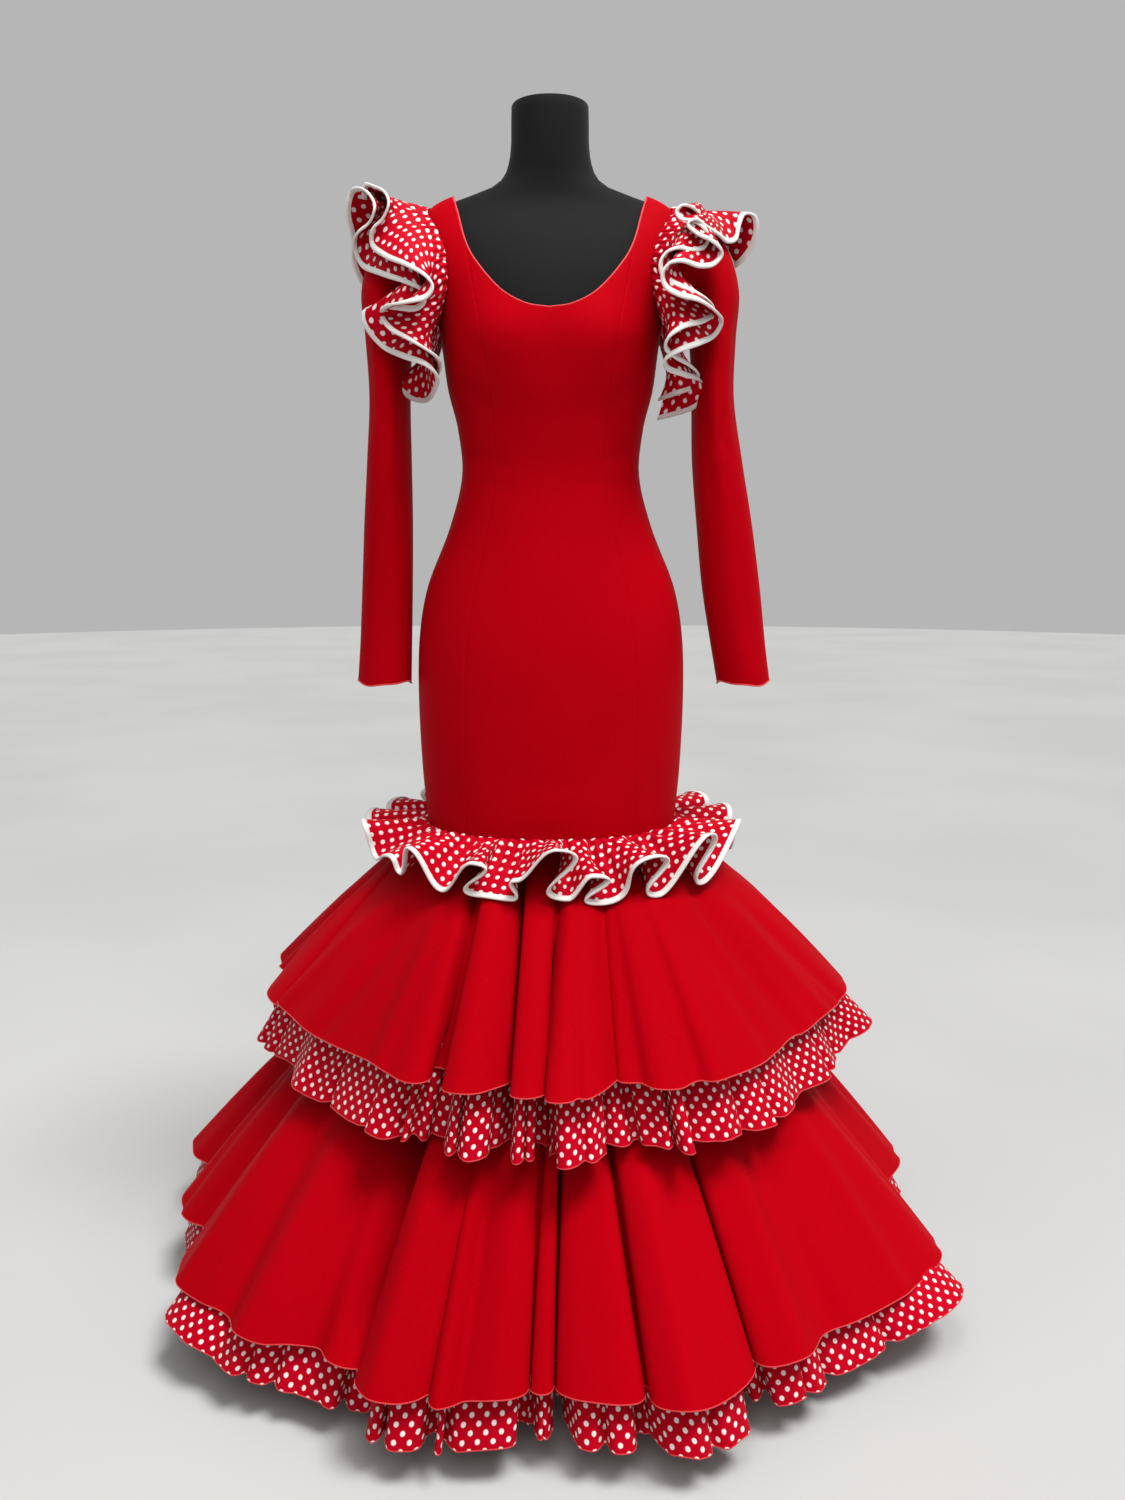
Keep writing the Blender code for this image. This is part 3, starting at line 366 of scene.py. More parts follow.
def hermite(b, c, before, after, x1, x2, x0, x3, x):
    """The curve from b to c, with slopes that come from the values before and after them."""
    span = x2 - x1
    s = (x - x1) / span
    slope_1 = np.where(x2 > x0, (c - before) / np.maximum(x2 - x0, 1e-9) * span, 0.0)
    slope_2 = np.where(x3 > x1, (after - b) / np.maximum(x3 - x1, 1e-9) * span, 0.0)
    return between(b, c, slope_1, slope_2, s)


def through(rows, key, value, at):
    """One column of a table, read smoothly at places along another column."""
    x, y = column(rows, key), column(rows, value)
    at = np.clip(np.asarray(at, float), x[0], x[-1])
    i = np.clip(np.searchsorted(x, at, side="right") - 1, 0, len(x) - 2)
    low, high = np.maximum(i - 1, 0), np.minimum(i + 2, len(x) - 1)
    return hermite(y[i], y[i + 1], y[low], y[high], x[i], x[i + 1], x[low], x[high], at)


def mix(a, b, share):
    return a + (b - a) * share


def short_way(off, whole=360):
    """An offset on a closed line, taken the short way round."""
    return (off + whole / 2) % whole - whole / 2


# %% Sums and softening along a line
def add_up(steps, axis=0):
    """Running sums of steps along an axis, with the start put in at nought."""
    start = np.zeros_like(np.take(steps, [0], axis))
    return np.concatenate([start, np.cumsum(steps, axis)], axis)


def down_rows(grid):
    """How far each row of a grid lies from its first, as a mean over the columns."""
    return add_up(np.linalg.norm(np.diff(grid, axis=0), axis=2).mean(1))


def soften(values, reach, spacing, closed=True):
    """Values along a line, averaged with their neighbours within about reach metres."""
    half = int(3 * reach / spacing) + 1
    offsets = np.arange(-half, half + 1)
    weights = np.exp(-0.5 * (offsets * spacing / reach) ** 2)
    weights /= weights.sum()
    if closed:
        padded = np.concatenate([values[-half:], values, values[:half]])
    else:
        before, after = np.repeat(values[:1], half, 0), np.repeat(values[-1:], half, 0)
        padded = np.concatenate([before, values, after])
    if values.ndim == 1:
        return np.convolve(padded, weights, "valid")
    return np.stack([np.convolve(padded[:, k], weights, "valid") for k in range(values.shape[1])], -1)


# %% [markdown]
# ## The body's surface
# A dress form is close to a stack of squarish ovals: each row gives one oval's half width, its front
# and its back depth. The bust is a soft bump laid over them. One function for the whole surface
# keeps panels, seams, sleeve heads and the form itself in step with each other.

# %% The body's surface
CLOTH = 0.0015
SQUARENESS = 0.92  # 1 is an ellipse; less is squarer
Section = namedtuple("Section", "height half_width front back")
BODY = [
    Section(0.560, 0.1710, 0.132, 0.134),
    Section(0.620, 0.1725, 0.133, 0.136),
    Section(0.700, 0.1790, 0.127, 0.139),
    Section(0.800, 0.1825, 0.121, 0.142),
    Section(0.880, 0.1805, 0.115, 0.139),
    Section(0.950, 0.1680, 0.107, 0.127),
    Section(1.030, 0.1360, 0.096, 0.103),
    Section(1.100, 0.1180, 0.089, 0.089),
    Section(1.160, 0.1225, 0.097, 0.093),
    Section(1.210, 0.1345, 0.109, 0.099),
    Section(1.263, 0.1415, 0.117, 0.103),
    Section(1.300, 0.1480, 0.114, 0.106),
    Section(1.350, 0.1650, 0.100, 0.103),
    Section(1.390, 0.1705, 0.081, 0.091),
    Section(1.418, 0.1670, 0.063, 0.075),
    Section(1.430, 0.1610, 0.055, 0.067),
    Section(1.441, 0.1470, 0.050, 0.062),
    Section(1.450, 0.1245, 0.048, 0.060),
    Section(1.458, 0.0955, 0.048, 0.059),
    Section(1.472, 0.0705, 0.048, 0.058),
    Section(1.490, 0.0600, 0.050, 0.056),
    Section(1.515, 0.0555, 0.052, 0.056),
    Section(1.540, 0.0550, 0.053, 0.056),
    Section(1.562, 0.0545, 0.053, 0.055),
]

# %% A place on the body
CUP_HEIGHT = 1.262
CUP_OUT = 0.075
CUP_RISE = 0.012
CUP_SPREAD = 0.052
CUP_FADE = 3  # how fast the bust fades towards the side seam


def signed_power(value, power):
    return np.abs(value) ** power * np.sign(value)


def body_point(turn, height, out=0.0, cups=True):
    """Points of the dress's inner face, or out metres off it. turn is in degrees."""
    turn, height = np.broadcast_arrays(np.asarray(turn, float), np.asarray(height, float))
    half_width = through(BODY, "height", "half_width", height) + out
    front = through(BODY, "height", "front", height) + out
    back = through(BODY, "height", "back", height) + out
    ahead = signed_power(np.cos(np.radians(turn)), SQUARENESS)
    x = half_width * signed_power(np.sin(np.radians(turn)), SQUARENESS)
    y = -ahead * np.where(ahead > 0, front, back)
    if cups:
        rise = (height - CUP_HEIGHT) / CUP_SPREAD
        off = (np.abs(x) - CUP_OUT) / CUP_SPREAD
        bust = CUP_RISE * np.exp(-rise**2 - off**2) * np.minimum(1, ahead * CUP_FADE)
        y = y - np.where(ahead > 0, bust, 0)
    return np.stack([x, y, np.broadcast_to(height, x.shape)], -1)


# %% [markdown]
# ## How a sheet of cloth is made
# Cloth is a thin wall on a grid of points. The grid is laid out in rows, from one edge of the piece
# to the other, and its map is in metres, so a dot or a stitch has its real size everywhere. Solidify
# gives the wall its thickness and closes the edges. A cloth simulation could find the folds, but it
# would find its own, and these are given here.


# %% Sheets
def sheet_mesh(name, grid, along, across, closed=False, around=None):
    """A mesh of quads through a grid of points, with its own map in metres. A closed grid joins its
    last column to its first, where the map has come to around."""
    rows, columns = grid.shape[:2]
    index = np.arange(rows * columns).reshape(rows, columns)
    along = np.broadcast_to(along, (rows, columns))
    across = np.broadcast_to(across, (rows, columns))
    if closed:
        index = np.concatenate([index, index[:, :1]], 1)
        if around is None:
            along = np.concatenate([along, 2 * along[:, -1:] - along[:, -2:-1]], 1)
        else:
            along = np.concatenate([along, np.full((rows, 1), around)], 1)
        across = np.concatenate([across, 2 * across[:, -1:] - across[:, -2:-1]], 1)

    def corners(values):
        low, high = values[:-1], values[1:]
        return np.stack([low[:, :-1], low[:, 1:], high[:, 1:], high[:, :-1]], -1).reshape(-1, 4)

    faces = corners(index)
    mesh = bpy.data.meshes.new(name)
    mesh.vertices.add(rows * columns)
    mesh.vertices.foreach_set("co", grid.reshape(-1).astype(np.float32))
    mesh.loops.add(faces.size)
    mesh.loops.foreach_set("vertex_index", faces.reshape(-1).astype(np.int32))
    mesh.polygons.add(len(faces))
    mesh.polygons.foreach_set("loop_start", np.arange(0, faces.size, 4, dtype=np.int32))
    mesh.polygons.foreach_set("use_smooth", np.ones(len(faces), bool))
    mesh.update(calc_edges=True)
    layer = mesh.uv_layers.new(name="cloth_map")
    flat = np.stack([corners(along), corners(across)], -1).reshape(-1)
    layer.data.foreach_set("uv", flat.astype(np.float32))
    return mesh


# %% A piece and its wall
def add_piece(name, mesh, finish):
    """A piece named after its solid, so its own name ends in made."""
    piece = bpy.data.objects.new(name + "_made", mesh)
    mesh.materials.append(finish)
    bpy.context.scene.collection.objects.link(piece)
    return piece


def pick(piece):
    """Selects one piece and nothing else, and makes it the active one."""
    bpy.ops.object.select_all(action="DESELECT")
    piece.select_set(True)
    bpy.context.view_layer.objects.active = piece


def apply_all(piece):
    pick(piece)
    for modifier in list(piece.modifiers):
        bpy.ops.object.modifier_apply(modifier=modifier.name)


SMOOTH_BELOW = radians(70)  # edges that turn less than this are shaded smooth


def cloth(name, grid, along, across, finish, wall, side, closed=False, around=None):
    """A wall of cloth. side 1 adds the wall outwards, -1 inwards and 0 both ways."""
    piece = add_piece(name, sheet_mesh(name, grid, along, across, closed, around), finish)
    solid = piece.modifiers.new("Wall", "SOLIDIFY")
    solid.thickness = wall
    solid.offset = side
    solid.use_even_offset = False
    apply_all(piece)
    bpy.ops.object.shade_smooth_by_angle(angle=SMOOTH_BELOW)
    return piece


BODY_NAME = "dress_on_form"


def dress(piece, slot, *nodes):
    """The piece moves with the dress and stands for its solids; slot is not used."""
    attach(piece, BODY_NAME)
    if nodes:
        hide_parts(*nodes)
    print(piece.name, len(piece.data.polygons), "faces")
    return piece


# %% [markdown]
# ## Bodice and skirt panels
# The dress is cut in panels from neckline to knee: a centre front, two side fronts, two side backs
# and two centre backs with the zip between them. Princess seams take the shape of the bust and waist,
# so there are no darts. Each panel is a sheet between its own seam lines. One tube cut afterwards
# would have no seam edges to sink.

# %% Seam lines
UNDERARM = 1.293
NECK_CROSSING = 1.385  # where the princess seam meets the neckline, in front
BACK_CROSSING = 1.405
SEAM = 0.0003
SEAM_STOP = 0.6  # each panel stops this share of the gap short of its seam line
Seam = namedtuple("Seam", "height front_x back_x")
PRINCESS = [
    Seam(0.600, 0.112, 0.105),
    Seam(0.880, 0.108, 0.100),
    Seam(1.100, 0.071, 0.062),
    Seam(1.263, 0.084, 0.078),
    Seam(1.330, 0.096, 0.088),
    Seam(1.385, 0.106, 0.092),
    Seam(1.405, 0.107, 0.094),
    Seam(1.450, 0.110, 0.097),
]
Neck = namedtuple("Neck", "x front_height back_height")
NECKLINE = [
    Neck(0.000, 1.294, 1.392),
    Neck(0.030, 1.299, 1.393),
    Neck(0.061, 1.318, 1.397),
    Neck(0.094, 1.359, 1.405),
    Neck(0.106, 1.385, 1.418),
    Neck(0.116, 1.422, 1.434),
    Neck(0.1245, 1.450, 1.450),
]

# %% Armhole, and the side panels' rows
ARMHOLE_HEIGHT = 1.3615
ARMHOLE_HALF_HEIGHT = 0.0685
ARMHOLE_FRONT = 38.0
ARMHOLE_BACK = 36.0
# A side panel's rows: their heights at the princess seam and at the side seam and armhole.
Row = namedtuple("Row", "inner outer")
SIDE_ROWS = [
    Row(0.6243, 0.6243),
    Row(0.700, 0.700),
    Row(0.800, 0.800),
    Row(0.880, 0.880),
    Row(0.950, 0.950),
    Row(1.030, 1.030),
    Row(1.100, 1.100),
    Row(1.160, 1.160),
    Row(1.210, 1.210),
    Row(1.250, 1.252),
    Row(1.285, UNDERARM),
    Row(1.312, 1.304),
    Row(1.345, 1.330),
    Row(1.385, 1.3615),
    Row(1.405, 1.393),
    Row(1.425, 1.413),
    Row(1.438, 1.424),
    Row(1.4495, 1.430),
]


# %% Where the seams run
def turn_at(x, height, back=False):
    """The turn, in degrees from the front, at which the body is x wide of its middle."""
    half_width = through(BODY, "height", "half_width", height)
    share = np.minimum(1.0, np.abs(x) / half_width) ** (1 / SQUARENESS)
    turn = np.degrees(np.arcsin(share))
    return 180 - turn if back else turn


def princess_turn(height, back=False):
    return turn_at(through(PRINCESS, "height", "back_x" if back else "front_x", height), height, back)


def neck_height(x, back=False):
    return through(NECKLINE, "x", "back_height" if back else "front_height", np.abs(x))


NECK_SPREAD = np.linspace(0, NECKLINE[-1].x, 500)


def neck_turn(height, back=False):
    x = np.interp(height, neck_height(NECK_SPREAD, back), NECK_SPREAD)
    return turn_at(x, height, back)


def armhole_turn(height, back=False):
    off = (height - ARMHOLE_HEIGHT) / ARMHOLE_HALF_HEIGHT
    reach = np.sqrt(np.maximum(0.0, 1 - off * off))
    return 90 + ARMHOLE_BACK * reach if back else 90 - ARMHOLE_FRONT * reach


def armhole_point(angle, scale=1.0, out=0.0):
    """A point beside the +X armhole. angle 0 is the shoulder, 90 the front, -90 the back."""
    angle = np.radians(angle)
    height = ARMHOLE_HEIGHT + ARMHOLE_HALF_HEIGHT * scale * np.cos(angle)
    reach = np.sin(angle) * scale
    turn = 90 - np.where(reach > 0, ARMHOLE_FRONT, ARMHOLE_BACK) * reach
    return body_point(turn, height, out)


def seam_turn(height, turn):
    """The angle that a panel leaves free beside a seam."""
    here = body_point(turn, height)
    return np.degrees(SEAM * SEAM_STOP / np.hypot(here[..., 0], here[..., 1]))


# %% [markdown]
# ## Seams and soft creases
# Fitted crepe isn't quite smooth on a form. The waist and the underarms pull it into faint creases,
# and every seam sinks and puckers where its thread draws the cloth up. Noise would spread creases
# evenly, so each one is placed one by one instead: a line on the body with a soft round section.

# %% Soft creases of the bodice and skirt
# A crease runs from one place to another on the body. depth is how far its trough sinks; a ridge
# has a negative depth.
Crease = namedtuple("Crease", "turn height to_turn to_height depth half_width")
BODY_CREASES = [
    Crease(48, 1.262, 22, 1.222, 0.0012, 0.013),
    Crease(-50, 1.258, -26, 1.214, 0.0011, 0.014),
    Crease(58, 1.214, 30, 1.176, 0.0013, 0.012),
    Crease(-62, 1.220, -30, 1.180, 0.0012, 0.013),
    Crease(68, 1.130, 26, 1.112, 0.0012, 0.009),
    Crease(-70, 1.126, -22, 1.106, 0.0013, 0.010),
    Crease(60, 1.092, 10, 1.080, 0.0009, 0.009),
    Crease(-56, 1.086, -14, 1.074, 0.0010, 0.008),
    Crease(40, 0.980, 26, 0.760, -0.0012, 0.030),
    Crease(-38, 0.990, -30, 0.780, -0.0010, 0.034),
    Crease(14, 0.900, 20, 0.660, 0.0012, 0.028),
    Crease(-12, 0.860, -18, 0.650, 0.0012, 0.026),
    Crease(52, 0.720, 44, 0.640, 0.0016, 0.020),
    Crease(-56, 0.740, -48, 0.640, 0.0015, 0.022),
    Crease(0, 0.700, 2, 0.632, -0.0012, 0.022),
    Crease(98, 1.000, 92, 0.800, 0.0012, 0.026),
    Crease(-96, 1.010, -90, 0.810, 0.0013, 0.024),
    Crease(172, 1.120, 140, 1.106, 0.0014, 0.010),
    Crease(-172, 1.116, -138, 1.100, 0.0014, 0.011),
    Crease(168, 1.086, 128, 1.070, 0.0012, 0.010),
    Crease(-166, 1.080, -126, 1.066, 0.0013, 0.009),
    Crease(164, 1.150, 134, 1.180, 0.0011, 0.013),
    Crease(-164, 1.146, -132, 1.176, 0.0012, 0.012),
    Crease(150, 0.860, 158, 0.660, 0.0014, 0.028),
    Crease(-146, 0.850, -156, 0.650, 0.0013, 0.030),
    Crease(176, 0.790, 168, 0.640, -0.0014, 0.026),
    Crease(128, 1.330, 150, 1.270, 0.0010, 0.014),
    Crease(-130, 1.326, -152, 1.262, 0.0011, 0.014),
]

# %% How deep the creases lie
AROUND = 0.15  # metres to a radian, round the body
CREASE_ENDS = 0.35  # the share of a crease over which each end fades


def eased(share):
    """A share that leaves 0 and reaches 1 smoothly."""
    return share * share * (3 - 2 * share)


def crease_depth(turn, height):
    """How far the creases sink the cloth at a place on the body."""
    depth = np.zeros(np.broadcast(turn, height).shape)
    for crease in BODY_CREASES:
        x = np.radians(short_way(turn - crease.turn)) * AROUND
        z = height - crease.height
        along_x = np.radians(crease.to_turn - crease.turn) * AROUND
        along_z = crease.to_height - crease.height
        length = np.hypot(along_x, along_z)
        share = (x * along_x + z * along_z) / length**2
        side = (x * along_z - z * along_x) / length
        fade = np.clip(share / CREASE_ENDS, 0, 1) * np.clip((1 - share) / CREASE_ENDS, 0, 1)
        depth += crease.depth * eased(fade) * np.exp(-((side / crease.half_width) ** 2))
    return depth


# %% Sunk seams
SEAM_SINK = 0.0007
SEAM_REACH = 0.0030
PUCKER_DEPTH = 0.00022
PUCKER_PITCH = 0.0115
PUCKER_REACH = 0.008
EDGE_STEPS = (0.0007, 0.0016, 0.0028, 0.0045)  # where columns lie beside a panel's edge


def seam_sink(distance, height):
    """How far cloth sinks beside a seam, with the small puckers of its stitching."""
    near = np.clip(1 - distance / SEAM_REACH, 0, 1)
    pucker = PUCKER_DEPTH * np.sin(height * tau / PUCKER_PITCH + np.sin(height * 41) * 2)
    wide = np.exp(-((distance / PUCKER_REACH) ** 2))
    return SEAM_SINK * near**2 + pucker * wide


def close_spaced(count, width):
    """Shares across a panel that lie closer together beside its two edges."""
    near = np.array(EDGE_STEPS) / width
    inner = np.linspace(near[-1], 1 - near[-1], count)
    return np.concatenate([[0], near[:-1], inner, 1 - near[:-1][::-1], [1]])


def panel_lengths(grid):
    """A panel's map: metres across it and up it."""
    across = add_up(np.linalg.norm(np.diff(grid, axis=1), axis=2), 1)
    up = add_up(np.linalg.norm(np.diff(grid, axis=0), axis=2))
    return across - across[:, across.shape[1] // 2][:, None], up


# %% Centre panels
CENTRE_FRONT_WIDTH = 0.19
CENTRE_BACK_WIDTH = 0.09
CENTRE_AROUND = 0.13  # metres to a radian across the centre front
ROW_EASE = 1.05  # rows crowd a little towards the neckline


def centre_panel(back, rows=140):
    """The centre front, or the +X half of the back as far as the zip."""
    crossing = BACK_CROSSING if back else NECK_CROSSING
    if back:
        shares = close_spaced(20, CENTRE_BACK_WIDTH)
    else:
        shares = close_spaced(34, CENTRE_FRONT_WIDTH) * 2 - 1
    height = np.full(shares.shape, crossing)
    for _ in range(40):  # each column's top settles on the neckline
        edge = princess_turn(height, back)
        turn = mix(edge, 180, shares) if back else shares * edge
        height = mix(height, neck_height(body_point(turn, height)[:, 0], back), 0.5)
    level = 1 - (1 - np.linspace(0, 1, rows)) ** ROW_EASE
    heights = mix(SIDE_ROWS[0].inner, height[None, :], level[:, None])
    edge = princess_turn(heights, back)
    gap = seam_turn(heights, edge)
    if back:
        turn = mix(edge + gap, 180 - gap, shares[None, :])
        to_seam = np.radians(np.minimum(turn - edge, 180 - turn)) * AROUND
    else:
        turn = shares[None, :] * (edge - gap)
        to_seam = np.radians(edge - np.abs(turn)) * CENTRE_AROUND
    sink = crease_depth(turn, heights) + seam_sink(to_seam, heights)
    return body_point(turn, heights, -sink)


# %% Side panels
SIDE_WIDTH = 0.10
SIDE_AROUND = 0.14


def side_panel(back, rows=140, columns=17):
    """A +X side panel, from its princess seam to the side seam and the armhole."""
    crossing = BACK_CROSSING if back else NECK_CROSSING
    away = 1 if back else -1
    number = np.linspace(0, len(SIDE_ROWS) - 1, rows)
    numbers = np.arange(len(SIDE_ROWS))
    inner_height = np.interp(number, numbers, column(SIDE_ROWS, "inner"))
    outer_height = np.interp(number, numbers, column(SIDE_ROWS, "outer"))
    princess = princess_turn(inner_height, back)
    beside = princess - away * seam_turn(inner_height, princess)
    inner = np.where(inner_height <= crossing, beside, neck_turn(inner_height, back))
    outer = np.where(outer_height <= UNDERARM, 90, armhole_turn(outer_height, back))
    outer = outer + away * seam_turn(outer_height, outer)
    inner, outer = inner[:, None], outer[:, None]
    shares = close_spaced(columns, SIDE_WIDTH)[None, :]
    turn = mix(inner, outer, shares)
    heights = mix(inner_height[:, None], outer_height[:, None], shares)
    to_seam = np.radians(np.minimum(np.abs(turn - inner), np.abs(turn - outer))) * SIDE_AROUND
    sink = crease_depth(turn, heights) + seam_sink(to_seam, heights)
    grid = body_point(turn, heights, -sink)
    return grid[:, ::-1] if back else grid


# %% Make the panels
def mirrored(grid):
    """The grid on the other side of the dress, turned so that its faces still point out."""
    return grid[:, ::-1] * np.array([-1.0, 1.0, 1.0])


def make_panel(name, grid):
    across, up = panel_lengths(grid)
    piece = cloth(name, grid, across, up, crepe_finish, CLOTH, 1)
    dress(piece, "crepe_red", name)
    return piece


front_grid = centre_panel(False)
back_grid = centre_panel(True)
make_panel("front_panel", front_grid)
make_panel("back_left", back_grid)
make_panel("back_right", mirrored(back_grid))
for panel_name, is_back in (("side_front", False), ("side_back", True)):
    side_grid = side_panel(is_back)
    make_panel(panel_name + "_left", side_grid)
    make_panel(panel_name + "_right", mirrored(side_grid))

# %% [markdown]
# ## Neckline edge
# The neckline is rolled over a fine thread, which leaves a thin round edge. A cord of thread is a
# ring of points swept along the line. Bevelling the wall's rim would do nearly as well, but it has no
# map of its own, and the thread's wraps need one.

# %% Thread along an edge
def unit(vectors):
    return vectors / np.maximum(np.linalg.norm(vectors, axis=-1, keepdims=True), 1e-12)


def line_lengths(points, closed=False):
    """The distance of each point along a line, and the line's whole length."""
    steps = np.linalg.norm(np.diff(points, axis=0), axis=1)
    run = np.concatenate([[0.0], np.cumsum(steps)])
    total = run[-1] + (np.linalg.norm(points[0] - points[-1]) if closed else 0.0)
    return run, total


def tube(name, points, radius, finish, sides=6):
    """A thin round cord of thread along a closed line, such as a rolled hem."""
    ahead = unit(np.roll(points, -1, 0) - np.roll(points, 1, 0))
    level = unit(np.cross(ahead, [0, 0, 1.0]))
    upright = np.cross(level, ahead)
    run, _ = line_lengths(points, True)
    angles = np.arange(sides + 1) * tau / sides
    ring = [points + (level * np.cos(a) + upright * np.sin(a)) * radius for a in angles[:-1]]
    grid = np.stack(ring + ring[:1])
    mesh = sheet_mesh(name, grid, run[None, :], (angles * radius)[:, None], True)
    piece = add_piece(name, mesh, finish)
    weld = piece.modifiers.new("Join", "WELD")
    weld.merge_threshold = 0.00001
    apply_all(piece)
    bpy.ops.object.mode_set(mode="EDIT")
    bpy.ops.mesh.select_all(action="SELECT")
    bpy.ops.mesh.normals_make_consistent(inside=False)
    bpy.ops.object.mode_set(mode="OBJECT")
    return piece


# %% Neckline edge
NECK_EDGE_RADIUS = 0.0012


def neckline(count=150):
    """The neckline as a closed line: across the front, then back round the nape."""
    x = np.sin(np.linspace(-pi / 2, pi / 2, count)) * NECKLINE[-1].x
    line = []
    for back in (False, True):
        height = neck_height(x, back)
        turn = turn_at(x, height, back) * np.sign(x + 1e-9)
        line.append(body_point(turn, height, CLOTH * 0.5))
    return np.concatenate([line[0], line[1][::-1][1:-1]])


neck_edge = tube("neckline_edge", neckline(), NECK_EDGE_RADIUS, hem_finish)
dress(neck_edge, "crepe_red")

# %% [markdown]
# ## The zip
# A zip closes the centre back from below the neckline to the hip. Its slider and tab keep their
# solids, which are already fine enough, and get a red lacquer with a little wear; they are metal
# under the paint, so the light on them is sharper than on cloth.

# %% Lacquer
LACQUER_RED = (0.40, 0.004, 0.012, 1)
CHIPPED = (0.45, 0.36, 0.33, 1)

lacquer_finish = finish_of("zip_lacquer_finish", 0.32, Specular_IOR_Level=0.5,
                           Coat_Weight=0.35, Coat_Roughness=0.15)
lacquer_place = object_place(lacquer_finish)
chips = ramp(lacquer_finish, noise(lacquer_finish, lacquer_place, 900.0, 3.0), 0.66, 0.74)
pits = noise(lacquer_finish, lacquer_place, 500.0)
wire(lacquer_finish, "Base Color", blend_colour(lacquer_finish, chips, LACQUER_RED, CHIPPED))
wire(lacquer_finish, "Normal", bump(lacquer_finish, pits, 0.08, 0.0002))


def refinish(node_names, finish):
    """Puts a finish on solids of the frame that keep their own mesh."""
    for node_name in node_names:
        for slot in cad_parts[node_name].material_slots:
            slot.material = finish
        print(node_name, finish.name)


refinish(("zip_slider", "zip_pull_tab"), lacquer_finish)

# %% [markdown]
# ## Teeth and stitches
# A tooth is one small block with bevelled edges, made once and copied down the seam, left and right
# in turn. A stitch is another, and two lines of them hold the zip's tape under the cloth. They are
# hundreds, so each block keeps a few dozen faces; an array modifier could copy them too, but it
# wouldn't follow the back's curve.

# %% A block and its copies
BLOCK_BEVEL = 0.28  # of its shortest side


def small_block(name, size, finish):
    """A block with bevelled edges: the start of a tooth or a stitch."""
    bpy.ops.object.select_all(action="DESELECT")
    bpy.ops.mesh.primitive_cube_add(size=1.0, location=(0, 0, 0))
    block = bpy.context.active_object
    block.name = name
    bpy.ops.object.mode_set(mode="EDIT")
    bpy.ops.mesh.select_all(action="SELECT")
    bpy.ops.transform.resize(value=size)
    bpy.ops.mesh.bevel(offset=min(size) * BLOCK_BEVEL, segments=1)
    bpy.ops.object.mode_set(mode="OBJECT")
    block.data.materials.append(finish)
    return block


def copied_along(block, places):
    """Copies of a block, each with its own mesh at its place, joined into one piece."""
    bpy.ops.object.select_all(action="DESELECT")
    for place in places:
        copy = block.copy()
        copy.data = block.data.copy()
        copy.data.transform(Matrix.Translation(Vector(place)))
        bpy.context.scene.collection.objects.link(copy)
        copy.select_set(True)
        bpy.context.view_layer.objects.active = copy
    bpy.ops.object.join()
    piece = bpy.context.active_object
    name, mesh = block.name, block.data
    bpy.data.objects.remove(block)
    bpy.data.meshes.remove(mesh)
    piece.name = name + "_made"
    return piece


# %% Teeth
ZIP_TOP = 1.3650
ZIP_BOTTOM = 0.9300
TOOTH_PITCH = 0.0013
TOOTH_SIZE = (0.0021, 0.0010, 0.0009)
TOOTH_ASIDE = 0.00045

tooth_heights = np.arange(ZIP_TOP, ZIP_BOTTOM, -TOOTH_PITCH)
tooth_places = body_point(180, tooth_heights, CLOTH)
in_turn = np.arange(len(tooth_heights)) % 2 == 0
tooth_places[:, 0] = np.where(in_turn, TOOTH_ASIDE, -TOOTH_ASIDE)
teeth = copied_along(small_block("zip_teeth", TOOTH_SIZE, lacquer_finish), tooth_places)
dress(teeth, "zip_metal")

# %% Stitches beside the zip
STITCH_SIZE = (0.00045, 0.00045, 0.0022)
STITCH_SUNK = 0.0001
ZIP_STITCH_PITCH = 0.0032
STITCH_ASIDE = 0.0072
BELOW_TOP = 0.014
ABOVE_BOTTOM = 0.004

stitch_heights = np.arange(ZIP_TOP + BELOW_TOP, ZIP_BOTTOM - ABOVE_BOTTOM, -ZIP_STITCH_PITCH)
stitch_places = []
for aside in (STITCH_ASIDE, -STITCH_ASIDE):
    turn = 180 - np.degrees(aside / body_point(180, stitch_heights)[:, 1])
    spots = body_point(turn, stitch_heights, CLOTH - STITCH_SUNK)
    spots[:, 1] -= crease_depth(180 - np.degrees(aside / spots[:, 1]), stitch_heights)
    stitch_places.extend(spots)
stitches = copied_along(small_block("zip_stitches", STITCH_SIZE, hem_finish), stitch_places)
dress(stitches, "crepe_red")

# %% [markdown]
# ## Powder coat of the stand
# The pole and the round base are steel with a black powder coat: matt, very slightly pebbled, and
# rubbed a little paler in patches. Both solids are plain turned shapes and need only the finish.

# %% Powder coat
COAT_BLACK = (0.020, 0.020, 0.022, 1)
COAT_RUBBED = (0.055, 0.055, 0.058, 1)

coat_finish = finish_of("stand_coat_finish", 0.42, Specular_IOR_Level=0.5)
coat_place = object_place(coat_finish)
rubbed = ramp(coat_finish, noise(coat_finish, coat_place, 22.0, 4.0), 0.58, 0.80, 0.0, 0.6)
grain = noise(coat_finish, coat_place, 700.0)
wire(coat_finish, "Base Color", blend_colour(coat_finish, rubbed, COAT_BLACK, COAT_RUBBED))
wire(coat_finish, "Normal", bump(coat_finish, grain, 0.12, 0.0003))
refinish(("stand_base", "stand_pole"), coat_finish)
